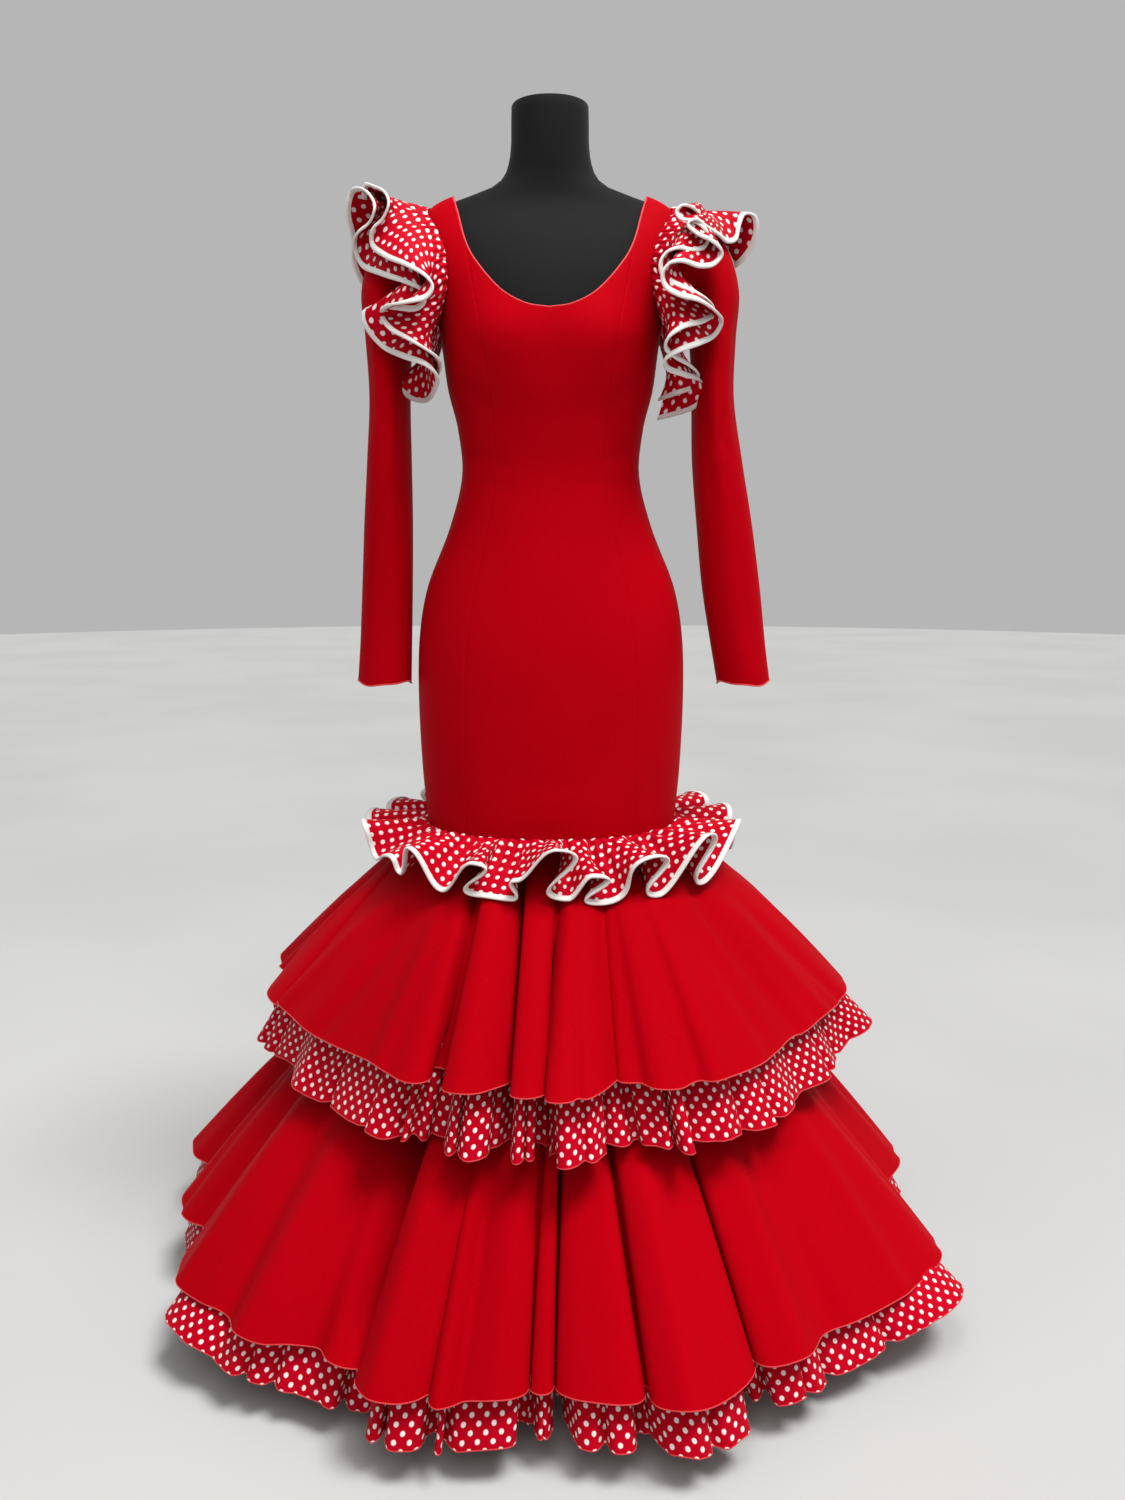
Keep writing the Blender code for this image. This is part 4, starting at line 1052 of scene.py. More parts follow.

# %% [markdown]
# ## Sleeves
# The sleeves are long, plain and empty, so they hang flat with a soft fold down their length. Each
# is one tube: rings listed down the arm, joined by a smooth curve, with slack folds on it. A
# plain cylinder bent to the arm would look stuffed.

# %% Sleeve rings
SLEEVE_HEAD_SCALE = 0.990
Cuff = namedtuple("Cuff", "x y z tilt half_width half_depth")
SLEEVE_HEAD = [
    Cuff(0.1770, 0.000, 1.3620, 8, 0.0630, 0.0600),
    Cuff(0.1990, 0.000, 1.3500, 32, 0.0520, 0.0590),
    Cuff(0.2120, 0.000, 1.3180, 62, 0.0400, 0.0580),
]
LEFT_SLEEVE = SLEEVE_HEAD + [
    Cuff(0.2150, 0.000, 1.2700, 84, 0.0300, 0.0580),
    Cuff(0.2165, 0.000, 1.2000, 90, 0.0275, 0.0600),
    Cuff(0.2240, -0.002, 1.1200, 90, 0.0330, 0.0560),
    Cuff(0.2350, -0.004, 1.0400, 90, 0.0370, 0.0500),
    Cuff(0.2462, -0.006, 0.9540, 90, 0.0392, 0.0440),
    Cuff(0.2570, -0.008, 0.8800, 90, 0.0375, 0.0400),
    Cuff(0.2665, -0.010, 0.8220, 90, 0.0360, 0.0370),
]
RIGHT_SLEEVE = SLEEVE_HEAD + [
    Cuff(0.2140, 0.000, 1.2700, 84, 0.0300, 0.0580),
    Cuff(0.2145, 0.000, 1.2000, 90, 0.0262, 0.0600),
    Cuff(0.2170, -0.002, 1.1200, 90, 0.0290, 0.0560),
    Cuff(0.2200, -0.004, 1.0400, 90, 0.0322, 0.0500),
    Cuff(0.2235, -0.006, 0.9540, 90, 0.0340, 0.0440),
    Cuff(0.2270, -0.008, 0.8800, 90, 0.0352, 0.0400),
    Cuff(0.2303, -0.010, 0.8220, 90, 0.0366, 0.0370),
]

# %% A sleeve's slack
# A sleeve's soft folds: round the arm in degrees (0 outer side, 90 front), down it as a share.
Slack = namedtuple("Slack", "angle down to_angle to_down depth half_width")
LEFT_SLACK = [
    Slack(84, 0.34, 70, 0.98, 0.0030, 20),
    Slack(30, 0.30, 48, 0.62, 0.0022, 14),
    Slack(140, 0.36, 118, 0.72, 0.0024, 16),
    Slack(60, 0.52, 110, 0.60, 0.0016, 12),
    Slack(40, 0.62, 95, 0.56, 0.0012, 10),
    Slack(-86, 0.36, -74, 0.97, 0.0030, 20),
    Slack(-130, 0.30, -112, 0.64, 0.0022, 16),
    Slack(-40, 0.40, -60, 0.70, 0.0020, 15),
]
RIGHT_SLACK = [
    Slack(96, 0.32, 88, 0.98, 0.0028, 22),
    Slack(36, 0.30, 56, 0.58, 0.0020, 15),
    Slack(146, 0.38, 128, 0.80, 0.0024, 16),
    Slack(54, 0.50, 112, 0.57, 0.0015, 11),
    Slack(-92, 0.33, -80, 0.97, 0.0028, 20),
    Slack(-136, 0.34, -118, 0.66, 0.0020, 16),
    Slack(-44, 0.42, -58, 0.74, 0.0020, 14),
]
SLACK_START = 0.3  # the shares of a fold over which it comes and goes
SLACK_END = 0.2


# %% Sleeve surface
def sleeve_rings(rings, angles):
    """The armhole and every ring of a sleeve, as rows of points round the arm."""
    rows = [armhole_point(np.degrees(angles), SLEEVE_HEAD_SCALE)]
    for ring in rings:
        tilt = radians(ring.tilt)
        wide = np.cos(angles) * ring.half_width
        rows.append(np.stack([
            ring.x + wide * np.sin(tilt),
            ring.y - ring.half_depth * np.sin(angles),
            ring.z + wide * np.cos(tilt),
        ], -1))
    return np.stack(rows)


def smooth_rows(rows, count):
    """More rows between the given ones, on smooth curves."""
    at = np.linspace(0, len(rows) - 1, count)
    i = np.minimum(at.astype(int), len(rows) - 2)
    s = (at - i)[:, None, None]
    before, here = rows[np.maximum(i - 1, 0)], rows[i]
    after, beyond = rows[i + 1], rows[np.minimum(i + 2, len(rows) - 1)]
    slope_1, slope_2 = (after - before) / 2, (beyond - here) / 2
    return between(here, after, slope_1, slope_2, s)


def slack_depth(folds, angle, down):
    """How far a sleeve's folds sink it at a place round it and down it."""
    depth = np.zeros(np.broadcast(angle, down).shape)
    for fold in folds:
        share = (down - fold.down) / (fold.to_down - fold.down)
        inside = np.clip(share, 0, 1)
        middle = mix(fold.angle, fold.to_angle, inside)
        fade = np.clip(share / SLACK_START, 0, 1) * np.clip((1 - share) / SLACK_END, 0, 1)
        off = short_way(angle - middle)
        depth += fold.depth * eased(fade) * np.exp(-((off / fold.half_width) ** 2))
    return depth


# %% Gathers at the sleeve head, and the cuff's edge
HEAD_PUCKER = 0.0006  # small gathers where the sleeve head is eased into the armhole
HEAD_PUCKERS = 9
HEAD_AT, HEAD_REACH = 0.08, 0.06
CUFF_SHARE = 0.1  # the sleeve's last tenth, where the cuff's edge wanders up and down
CUFF_WANDER = (0.0022, 0.0012)


def sleeve_grid(rings, folds, columns=96, rows=90):
    angles = np.arange(columns) / columns * tau
    grid = smooth_rows(sleeve_rings(rings, angles), rows)
    down = np.linspace(0, 1, rows)[:, None]
    outwards = grid - grid.mean(1, keepdims=True)
    size = np.linalg.norm(outwards, axis=2, keepdims=True)
    degrees = np.degrees(angles)[None, :]
    depth = slack_depth(folds, degrees, down)
    pucker = HEAD_PUCKER * np.sin(degrees * pi / 180 * HEAD_PUCKERS + 2)
    depth += pucker * np.exp(-(((down - HEAD_AT) / HEAD_REACH) ** 2))
    grid = grid - outwards / size * depth[..., None]
    near_cuff = np.clip((down - (1 - CUFF_SHARE)) / CUFF_SHARE, 0, 1) ** 2
    wander = CUFF_WANDER[0] * np.sin(3 * angles + 0.6) + CUFF_WANDER[1] * np.sin(5 * angles)
    grid[..., 2] += wander[None, :] * near_cuff
    return grid


# %% Make the sleeves
CUFF_EDGE_RADIUS = 0.0011


def make_sleeve(name, rings, folds, flip):
    grid = sleeve_grid(rings, folds)
    if flip:
        grid = mirrored(grid)
    round_arm, _ = line_lengths(grid[len(grid) // 2], True)
    piece = cloth(name, grid, round_arm[None, :], down_rows(grid)[:, None], crepe_finish, CLOTH, -1,
                  closed=True)
    dress(piece, "crepe_red", name)
    edge = tube(name + "_cuff_edge", grid[-1], CUFF_EDGE_RADIUS, hem_finish)
    dress(edge, "crepe_red")


make_sleeve("sleeve_left", LEFT_SLEEVE, LEFT_SLACK, False)
make_sleeve("sleeve_right", RIGHT_SLEEVE, RIGHT_SLACK, True)

# %% [markdown]
# ## Ruffles
# A ruffle is a strip much longer than the seam it is gathered into. Its free edge has to go
# somewhere, so it swings up and down in waves, and its seam edge puckers into small gathers. The
# path below holds the waves; the gathers are laid over it, deepest at the seam. Two scales made
# apart are easier to steer than one line that holds both.

# %% Waves
# A wave rises at one place on the seam and dips at another. roll and lift say how far its edge laps
# over on the way down and on the way up, in degrees.
Wave = namedtuple("Wave", "at rise dip_at fall roll lift")
TURN_LATE = 2.3  # the edge's sideways lap comes mostly near the edge,
SWING_EARLY = 0.9  # and its rise and fall begin at the seam


def wave_path(waves, steps, end, end_off):
    """A ruffle's waves as three rows: place on the seam, place at the edge, swing of the edge."""
    turns = []
    for wave in waves:
        turns.append((wave.at, wave.rise, wave.roll))
        turns.append((wave.dip_at, -wave.fall, wave.lift))
    turns.append((end, end_off, 0.0))
    share = np.arange(steps) / steps
    pieces = []
    for (at, off, roll), (next_at, next_off, _) in zip(turns, turns[1:]):
        ahead = roll if next_at > at else -roll
        seam = mix(at, next_at, share)
        swing = mix(off, next_off, (1 - np.cos(pi * share)) / 2)
        pieces.append(np.stack([seam, seam + ahead * np.sin(tau * share), swing]))
    pieces.append(np.array([[end], [end], [end_off]]))
    return np.concatenate(pieces, 1)


def ruffle_grid(path, lie, length, spans):
    """Points across a ruffle for each share of its length in spans."""
    seam, edge, swing = path
    rows = []
    for share in spans:
        root, way, across = lie(mix(seam, edge, share**TURN_LATE))
        rows.append(root + way * (length * share) + across * (swing * share**SWING_EARLY)[..., None])
    return np.stack(rows)


# %% Gathers
Gather = namedtuple("Gather", "pitch depth reach")
GATHER_FADE = 1.3
PRESSED = 0.45  # in the seam itself the gathers are pressed to this share of their depth
PRESSED_REACH = 0.08


def surface_normals(grid, closed=False):
    if closed:
        wide = np.roll(grid, -1, 1) - np.roll(grid, 1, 1)
    else:
        wide = np.gradient(grid, axis=1)
    tall = np.gradient(grid, axis=0)
    return unit(np.cross(wide, tall))


def gathers(run, total, pitch):
    """Small uneven gathers along a seam: -1 to 1, about one to each pitch."""
    count = max(1, round(total / pitch))
    phase = run / total * tau * count
    uneven = 1.1 * np.sin(run / total * tau * 7 + 0.7) + 0.8 * np.sin(run / total * tau * 17 + 2.1)
    high = 0.75 + 0.25 * np.sin(run / total * tau * 11 + 1.3)
    return np.sin(phase + uneven) * high


def gathered(grid, spans, gather, closed):
    """Lays gathers over a ruffle's grid, from its seam row to their reach of its length."""
    seam_row = int(np.argmin(spans))
    run, total = line_lengths(grid[seam_row], closed)
    shape = gathers(run, total, gather.pitch)
    free = mix(PRESSED, 1.0, np.clip(spans / PRESSED_REACH, 0, 1))
    fade = np.clip(1 - spans / gather.reach, 0, 1) ** GATHER_FADE * free
    lift = fade[:, None] * shape[None, :] * gather.depth
    return grid + surface_normals(grid, closed) * lift[..., None]


# %% A ruffle's map
def unrolled(grid, edge_row, scale=1.0):
    """A ring-cut ruffle's map: the cloth laid flat, one narrow strip after another, times a scale."""
    rows = np.arange(len(grid)) if edge_row == 0 else np.arange(len(grid))[::-1]
    ordered = grid[rows]
    steps = np.linalg.norm(np.diff(ordered, axis=1), axis=2)
    width = add_up(np.linalg.norm(np.diff(ordered, axis=0), axis=2))
    turning = (steps[0] - steps[-1]) / np.maximum(width[-1, 1:], 1e-6)
    heading = add_up(turning)
    middle = (heading[1:] + heading[:-1]) / 2
    edge_x, edge_y = add_up(steps[0] * np.cos(middle)), add_up(steps[0] * np.sin(middle))
    along, across = edge_x - width * np.sin(heading), edge_y + width * np.cos(heading)
    return along[rows] * scale, across[rows] * scale


# %% [markdown]
# ## A folded binding
# The tape is folded over the ruffle's raw edge and stitched near its own inner edge. It is a second
# sheet: its section, a narrow fold, is swept along the edge that the ruffle ends in. A thicker rim
# on the ruffle itself could not have its own colour, its own map and its own stitches.

# %% Folded binding
BIAS_WIDTH = 0.0068
IN_TAPE = 0.85  # how far into the tape the ruffle's raw edge reaches
TAPE_WALL = 0.00035
# A place on the tape's section: how far from its inner edge, and how far off the ruffle.
Fold = namedtuple("Fold", "reach off")
TAPE_FOLD = [
    Fold(0.00, 0.0010),
    Fold(0.17, 0.0008),
    Fold(0.50, 0.0014),
    Fold(0.92, 0.0011),
    Fold(1.00, 0.0000),
    Fold(0.92, -0.0011),
    Fold(0.50, -0.0014),
    Fold(0.17, -0.0008),
    Fold(0.00, -0.0010),
]


def make_binding(name, inner, outer, closed):
    """The tape's fold swept along a ruffle's edge, from its inner line to its outer one."""
    normal = surface_normals(np.stack([inner, outer]), closed)[0]
    grid = np.stack([mix(inner, outer, fold.reach) + normal * fold.off for fold in TAPE_FOLD])
    across = column(TAPE_FOLD, "reach") * BIAS_WIDTH
    run, total = line_lengths(outer, closed)
    piece = cloth(name, grid[::-1], run[None, :], across[::-1, None],
                  binding_finish, TAPE_WALL, -1, closed)
    dress(piece, "bias_binding", name)


# %% [markdown]
# ## Knee ruffle
# A dotted ruffle covers the seam where the flounces begin. It is cut in rings, so its edge is more than
# three times as long as its seam and stands out almost level in deep rolls. Each wave in front has
# its own row, for no two of them roll alike; the back goes on in the same rhythm.

# %% Knee ruffle's waves
KNEE_SEAM = 0.624
KNEE_LENGTH = 0.088
KNEE_DOTS = 0.92
KNEE_DROOP = 0.022
KNEE_LAP = 0.004
KNEE_STANDOFF = 0.0013
KNEE_GATHER = Gather(0.0150, 0.0040, 0.85)
KNEE_STEPS = 28  # columns of points from a rise to a dip
KNEE_ROWS = 22
KNEE_FRONT_WAVES = [
    Wave(-78.0, 0.028, -69.0, 0.020, 1.5, 0.0),
    Wave(-54.0, -0.002, -49.5, 0.024, 0.6, 0.0),
    Wave(-42.5, 0.020, -32.0, 0.036, 0.5, 0.0),
    Wave(-20.5, 0.010, -20.0, 0.037, 4.0, 0.0),
    Wave(-10.0, -0.040, -8.5, 0.012, 1.2, 0.0),
    Wave(1.4, 0.033, 4.6, 0.039, 4.4, 0.0),
    Wave(10.8, -0.006, 14.2, 0.047, 4.2, 2.4),
    Wave(29.4, 0.016, 32.6, 0.044, 3.8, 0.0),
    Wave(49.4, 0.034, 52.6, 0.041, 4.0, 0.0),
    Wave(78.0, 0.028, 90.0, 0.026, 2.5, 2.0),
]
KNEE_BACK_WAVES = 9
BACK_FROM = 13  # degrees past the last wave in front
BACK_SWING = 0.026
BACK_DIP = 0.42  # of the way to the next wave
BACK_ROLL, BACK_LIFT = 5.0, 3.0
BACK_UNEVEN = 0.18


def knee_waves():
    """The rows in front, and waves like them round the back."""
    waves = list(KNEE_FRONT_WAVES)
    start = KNEE_FRONT_WAVES[-1].dip_at + BACK_FROM
    end = KNEE_FRONT_WAVES[0].at + 360
    pitch = (end - start) / KNEE_BACK_WAVES
    for i in range(KNEE_BACK_WAVES):
        uneven = 1 + BACK_UNEVEN * sin(2.3 * i)
        at = start + pitch * i
        waves.append(Wave(at, BACK_SWING * uneven, at + pitch * BACK_DIP, BACK_SWING / uneven,
                          BACK_ROLL, BACK_LIFT))
    return waves


# %% Knee ruffle
DOTTED_CLOTH = 0.0009


def knee_lie(place):
    """A place on the knee seam, the way the cloth leaves it, nearly level, and the way it swings."""
    angle = np.radians(place)
    outwards = np.stack([np.sin(angle), -np.cos(angle), np.zeros_like(angle)], -1)
    up = np.array([0, 0, 1.0])
    root = body_point(place, KNEE_SEAM + KNEE_LAP, CLOTH + KNEE_STANDOFF)
    droop = KNEE_DROOP / KNEE_LENGTH
    size = (1 + droop**2) ** 0.5
    way = (outwards - up * droop) / size
    across = (outwards * droop + up) / size
    return root, way, across


def edge_spans(length, rows):
    """Shares of a ruffle's length from its edge to its seam; the first two hold the binding."""
    band = (length - BIAS_WIDTH) / length
    return np.concatenate([[1.0], np.linspace(band, 0.0, rows)])


def make_knee_ruffle():
    waves = knee_waves()
    path = wave_path(waves, KNEE_STEPS, waves[0].at + 360, waves[0].rise)[:, :-1]
    spans = edge_spans(KNEE_LENGTH, KNEE_ROWS)
    grid = ruffle_grid(path, knee_lie, KNEE_LENGTH, spans)
    grid = np.roll(grid, -int(np.argmin(np.abs(path[0] - 180))), 1)
    along, across = unrolled(grid, 0, KNEE_DOTS)
    grid = gathered(grid, spans, KNEE_GATHER, True)
    make_binding("knee_ruffle_binding", grid[1], grid[0], True)
    grid = np.concatenate([mix(grid[1], grid[0], IN_TAPE)[None], grid[1:]])
    piece = cloth("knee_ruffle", grid, along, across, dotted_finish, DOTTED_CLOTH, 0, closed=True)
    dress(piece, "dotted_cloth", "knee_ruffle")


make_knee_ruffle()

# %% [markdown]
# ## Shoulder ruffles
# Two layers of ruffle stand out over each sleeve head. They are sewn round the armhole, the upper
# one a little further out, so the lower one shows under it. Each layer is its own strip with its own
# white binding. A strip this short swings where it likes, so its edge is drawn in the front view,
# and each point is then moved along its line of sight to the cloth's length from the armhole.
# Down the back it goes on in waves; such waves all round would look like a trimming.

# %% How the shoulder ruffles lie
# At a place round the armhole, Lie says which way the cloth leaves it and how far it reaches.
Lie = namedtuple("Lie", "around out forward up length")
SHOULDER_LIE = [
    Lie(-172, 0.26, -0.46, -0.88, 0.094),
    Lie(-130, 0.44, -0.78, -0.50, 0.094),
    Lie(-90, 0.55, -0.82, -0.15, 0.096),
    Lie(-45, 0.84, -0.45, 0.04, 0.098),
    Lie(0, 0.96, 0.00, 0.18, 0.100),
    Lie(45, 0.80, 0.58, 0.00, 0.098),
    Lie(90, 0.50, 0.86, -0.26, 0.094),
    Lie(130, 0.38, 0.72, -0.70, 0.097),
    Lie(172, 0.26, 0.36, -0.96, 0.104),
]
ROOT_STANDOFF = 0.0030


def shoulder_root(around, root_scale):
    return armhole_point(around, root_scale, CLOTH + ROOT_STANDOFF)


def shoulder_ways(around):
    out, forward, up = (through(SHOULDER_LIE, "around", way, around) for way in ("out", "forward", "up"))
    return unit(np.stack([out, -forward, up], -1))


# %% Shoulder ruffles' edges, as drawn in the front view
# The view is 1125 wide and 1500 high, with v downwards. near is 1 where the edge lies wholly on the
# near side of its root, and -1 on the far side. Each table runs from the shoulder to the underarm.
Seen = namedtuple("Seen", "u v near")


def rows_of(kind, rows):
    return [kind(*row) for row in rows]


LEFT_LOWER_SEEN = rows_of(Seen, [
    (736, 268, -0.2), (752, 250, 0), (759, 230, 0), (756, 216, 0), (746, 214, 0.1), (741, 224, 0.2),
    (737, 240, 0.3), (728, 243, 0.5), (719, 236, 0.7), (706, 228, 0.9), (694, 219, 1), (687, 224, 1),
    (696, 234, 1), (712, 242, 1), (723, 254, 1), (716, 265, 1), (700, 268, 1), (681, 262, 1),
    (668, 265, 1), (661, 275, 1), (664, 287, 1), (678, 296, 1), (700, 302, 1), (716, 312, 1),
    (723, 324, 1), (717, 335, 1), (700, 345, 1), (679, 353, 1), (665, 361, 1), (666, 370, 1),
    (684, 377, 1), (702, 384, 1), (707, 395, 1), (696, 408, 1), (675, 416, 1), (657, 420, 1),
])
LEFT_UPPER_SEEN = rows_of(Seen, [
    (727, 281, -0.3), (734, 269, -0.1), (730, 256, 0), (717, 238, 0.4), (703, 219, 0.8),
    (690, 207, 0.95), (680, 206, 1), (675, 213, 1), (680, 219, 1), (692, 221, 1), (704, 229, 1),
    (709, 239, 1), (705, 248, 1), (692, 252, 1), (676, 249, 1), (664, 254, 1), (659, 265, 1),
    (662, 277, 1), (675, 286, 1), (694, 293, 1), (710, 302, 1), (715, 313, 1), (704, 323, 1),
    (683, 329, 1), (669, 338, 1), (665, 349, 1), (674, 358, 1), (690, 367, 1), (699, 378, 1),
    (694, 388, 1), (678, 395, 1), (658, 401, 1),
])
RIGHT_LOWER_SEEN = rows_of(Seen, [
    (371, 297, -0.7), (361, 284, -0.6), (352, 262, -0.5), (351, 238, -0.4), (346, 216, -0.1),
    (346, 203, 0.1), (350, 190, 0.2), (360, 188, 0.4), (371, 197, 0.7), (374, 209, 0.9),
    (369, 223, 0.8), (357, 234, 0.9), (353, 246, 0.9), (359, 264, 1), (381, 276, 1), (406, 284, 1),
    (422, 292, 1), (426, 302, 1), (417, 311, 1), (396, 310, 1), (374, 307, 1), (362, 312, 1),
    (363, 324, 1), (379, 346, 1), (403, 359, 1), (427, 367, 1), (438, 378, 1), (435, 392, 1),
    (425, 403, 1), (412, 400, 1), (399, 392, 1), (388, 381, 1),
])
RIGHT_UPPER_SEEN = rows_of(Seen, [
    (362, 196, 0), (363, 184, 0.1), (374, 186, 0.5), (386, 193, 0.8), (389, 205, 0.9), (382, 220, 0.8),
    (371, 231, 0.9), (370, 245, 1), (385, 258, 1), (407, 267, 1), (427, 278, 1), (433, 287, 1),
    (427, 298, 1), (405, 303, 1), (386, 306, 1), (379, 314, 1), (388, 329, 1), (406, 339, 1),
    (425, 348, 1), (438, 358, 1), (441, 368, 0.9), (436, 380, 0.8),
])

# %% The four strips
# start and end say where round the armhole the drawn edge has its root, in degrees. A gap moves the
# waves behind sideways, so that the two layers don't touch.
Strip = namedtuple("Strip", "hand layer root_scale length start end seen behind gap")
LOWER_ROOT, UPPER_ROOT = 1.035, 1.120
LOWER_LENGTH, UPPER_LENGTH = 0.100, 0.088
UPPER_GAP = -0.011
LEFT_BEHIND = [Wave(-4, 0.020, -34, 0.022, 2.0, 2.0), Wave(-68, 0.022, -106, 0.022, 3.0, 2.0)]
RIGHT_BEHIND = [Wave(-8, 0.020, -36, 0.022, 2.0, 2.0), Wave(-68, 0.022, -106, 0.022, 3.0, 2.0)]
STRIPS = rows_of(Strip, [
    ("left", "lower", LOWER_ROOT, LOWER_LENGTH, -30, 176, LEFT_LOWER_SEEN, LEFT_BEHIND, 0),
    ("left", "upper", UPPER_ROOT, UPPER_LENGTH, -24, 174, LEFT_UPPER_SEEN, LEFT_BEHIND, UPPER_GAP),
    ("right", "lower", LOWER_ROOT, LOWER_LENGTH, -58, 180, RIGHT_LOWER_SEEN, RIGHT_BEHIND, 0),
    ("right", "upper", UPPER_ROOT, UPPER_LENGTH, 0, 170, RIGHT_UPPER_SEEN, RIGHT_BEHIND, UPPER_GAP),
])

# %% From the view to the edge in space
VIEW_WIDTH, VIEW_HEIGHT = 1125, 1500
FOCAL = round(CAMERA_LENS / CAMERA_SENSOR * VIEW_HEIGHT)  # the lens, in the view's own units
AHEAD = np.array([0, np.sin(CAMERA_TURN), -np.cos(CAMERA_TURN)])
UPRIGHT = np.array([0, np.cos(CAMERA_TURN), np.sin(CAMERA_TURN)])
SIDEWAYS = np.array([1.0, 0, 0])


def edge_in_front(strip):
    """The drawn part of an edge: each point on its line of sight, the cloth's length from its root."""
    side = np.array([1.0 if strip.hand == "left" else -1.0, 1.0, 1.0])
    u, v, near = (column(strip.seen, key) for key in Seen._fields)
    run, total = line_lengths(np.stack([u, v], -1))
    around = mix(strip.start, strip.end, run / total)
    u, v = (u - VIEW_WIDTH / 2)[:, None], (v - VIEW_HEIGHT / 2)[:, None]
    sight = unit(AHEAD * FOCAL + SIDEWAYS * u - UPRIGHT * v)
    to_camera = np.array(CAMERA_AT) - shoulder_root(around, strip.root_scale) * side
    nearest = (to_camera * sight).sum(1)
    reach = np.sqrt(np.maximum(0, nearest**2 - (to_camera**2).sum(1) + strip.length**2))
    return around, (CAMERA_AT - sight * (nearest + near * reach)[:, None]) * side


# %% Smooth lines through points
def curve_through(points, closed, per_span=24):
    """A smooth line through points, tight where they lie close together."""
    count = len(points)
    spans = range(count if closed else count - 1)
    line = []
    for i in spans:
        if closed:
            p = [points[(i + k) % count] for k in (-1, 0, 1, 2)]
        else:
            p = [points[min(max(i + k, 0), count - 1)] for k in (-1, 0, 1, 2)]
        gaps = [max(np.linalg.norm((b - a)[-3:]), 1e-4) ** 0.5 for a, b in zip(p, p[1:])]
        t = np.cumsum([0.0, *gaps])
        at = np.linspace(t[1], t[2], per_span, endpoint=False)[:, None]
        a1 = (t[1] - at) / (t[1] - t[0]) * p[0] + (at - t[0]) / (t[1] - t[0]) * p[1]
        a2 = (t[2] - at) / (t[2] - t[1]) * p[1] + (at - t[1]) / (t[2] - t[1]) * p[2]
        a3 = (t[3] - at) / (t[3] - t[2]) * p[2] + (at - t[2]) / (t[3] - t[2]) * p[3]
        b1 = (t[2] - at) / (t[2] - t[0]) * a1 + (at - t[0]) / (t[2] - t[0]) * a2
        b2 = (t[3] - at) / (t[3] - t[1]) * a2 + (at - t[1]) / (t[3] - t[1]) * a3
        line.append((t[2] - at) / (t[2] - t[1]) * b1 + (at - t[1]) / (t[2] - t[1]) * b2)
    if not closed:
        line.append(points[-1:])
    return np.concatenate(line)


def spaced(points, count, spacing=None):
    """An open line again, with points equally far apart in space: count of them, or by their spacing."""
    run, total = line_lengths(points[:, -3:])
    if spacing:
        count = max(4, int(total / spacing)) + 1
    at = np.linspace(0, total, count)
    return np.stack([np.interp(at, run, points[:, k]) for k in range(points.shape[1])], -1), total


# %% The edge behind
BEHIND_END = -146  # degrees round the armhole
BEHIND_AFTER = 16  # how far past the drawn part the waves take over
BEHIND_STEPS = 42
BEHIND_PACE = 0.0024  # metres to a degree along the edge
BEHIND_SPACING = 0.019


def edge_behind(strip):
    """The part of an edge in waves, as points about as far apart as the drawn ones."""
    seam, edge, swing = wave_path(strip.behind, BEHIND_STEPS, BEHIND_END, 0)
    along, across = np.gradient(edge) * BEHIND_PACE, np.gradient(swing)
    size = np.hypot(along, across)
    edge, swing = edge - across / size * strip.gap / BEHIND_PACE, swing + along / size * strip.gap
    way = shoulder_ways(edge)
    beside = unit(np.cross(unit(armhole_point(edge + 2) - armhole_point(edge - 2)), way))
    length = through(SHOULDER_LIE, "around", "length", edge)
    line = shoulder_root(edge, strip.root_scale) + way * length[:, None] + beside * swing[:, None]
    after = seam < strip.start - BEHIND_AFTER
    line, _ = spaced(np.column_stack([seam, line])[after], None, BEHIND_SPACING)
    return line[:, 0], line[:, 1:]


def edge_walk(strip):
    """A walk along the edge, from the underarm in front, over the shoulder and down the back: round
    the armhole and in space, to whole degrees and millimetres."""
    front, behind = edge_in_front(strip), edge_behind(strip)
    around = np.concatenate([front[0][::-1], behind[0]])
    return np.column_stack([np.round(around), np.round(np.concatenate([front[1][::-1], behind[1]]), 3)])


# %% Shoulder ruffles
SHOULDER_DOTS = 0.84
LEAVING = 0.056  # how far the cloth runs on straight from the armhole before it turns
SHOULDER_GATHER = Gather(0.0085, 0.0018, 0.60)
EDGE_SOFTNESS = 0.0020
SHOULDER_COLUMNS, SHOULDER_ROWS = 470, 20


def shoulder_grid(walk, root_scale, columns, rows):
    """A ruffle's points from the armhole to its edge, each column a bow that leaves along its lie."""
    walk, total = spaced(curve_through(walk, False), columns)
    walk = soften(walk, EDGE_SOFTNESS, total / columns, False)
    around, edge = walk[:, 0], walk[:, 1:]
    root = shoulder_root(around, root_scale)
    leaving = root + shoulder_ways(around) * LEAVING
    spans = np.linspace(0, 1, rows)
    grid = np.stack([root * (1 - s) ** 2 + leaving * (2 * s * (1 - s)) + edge * s * s for s in spans])
    return grid, spans


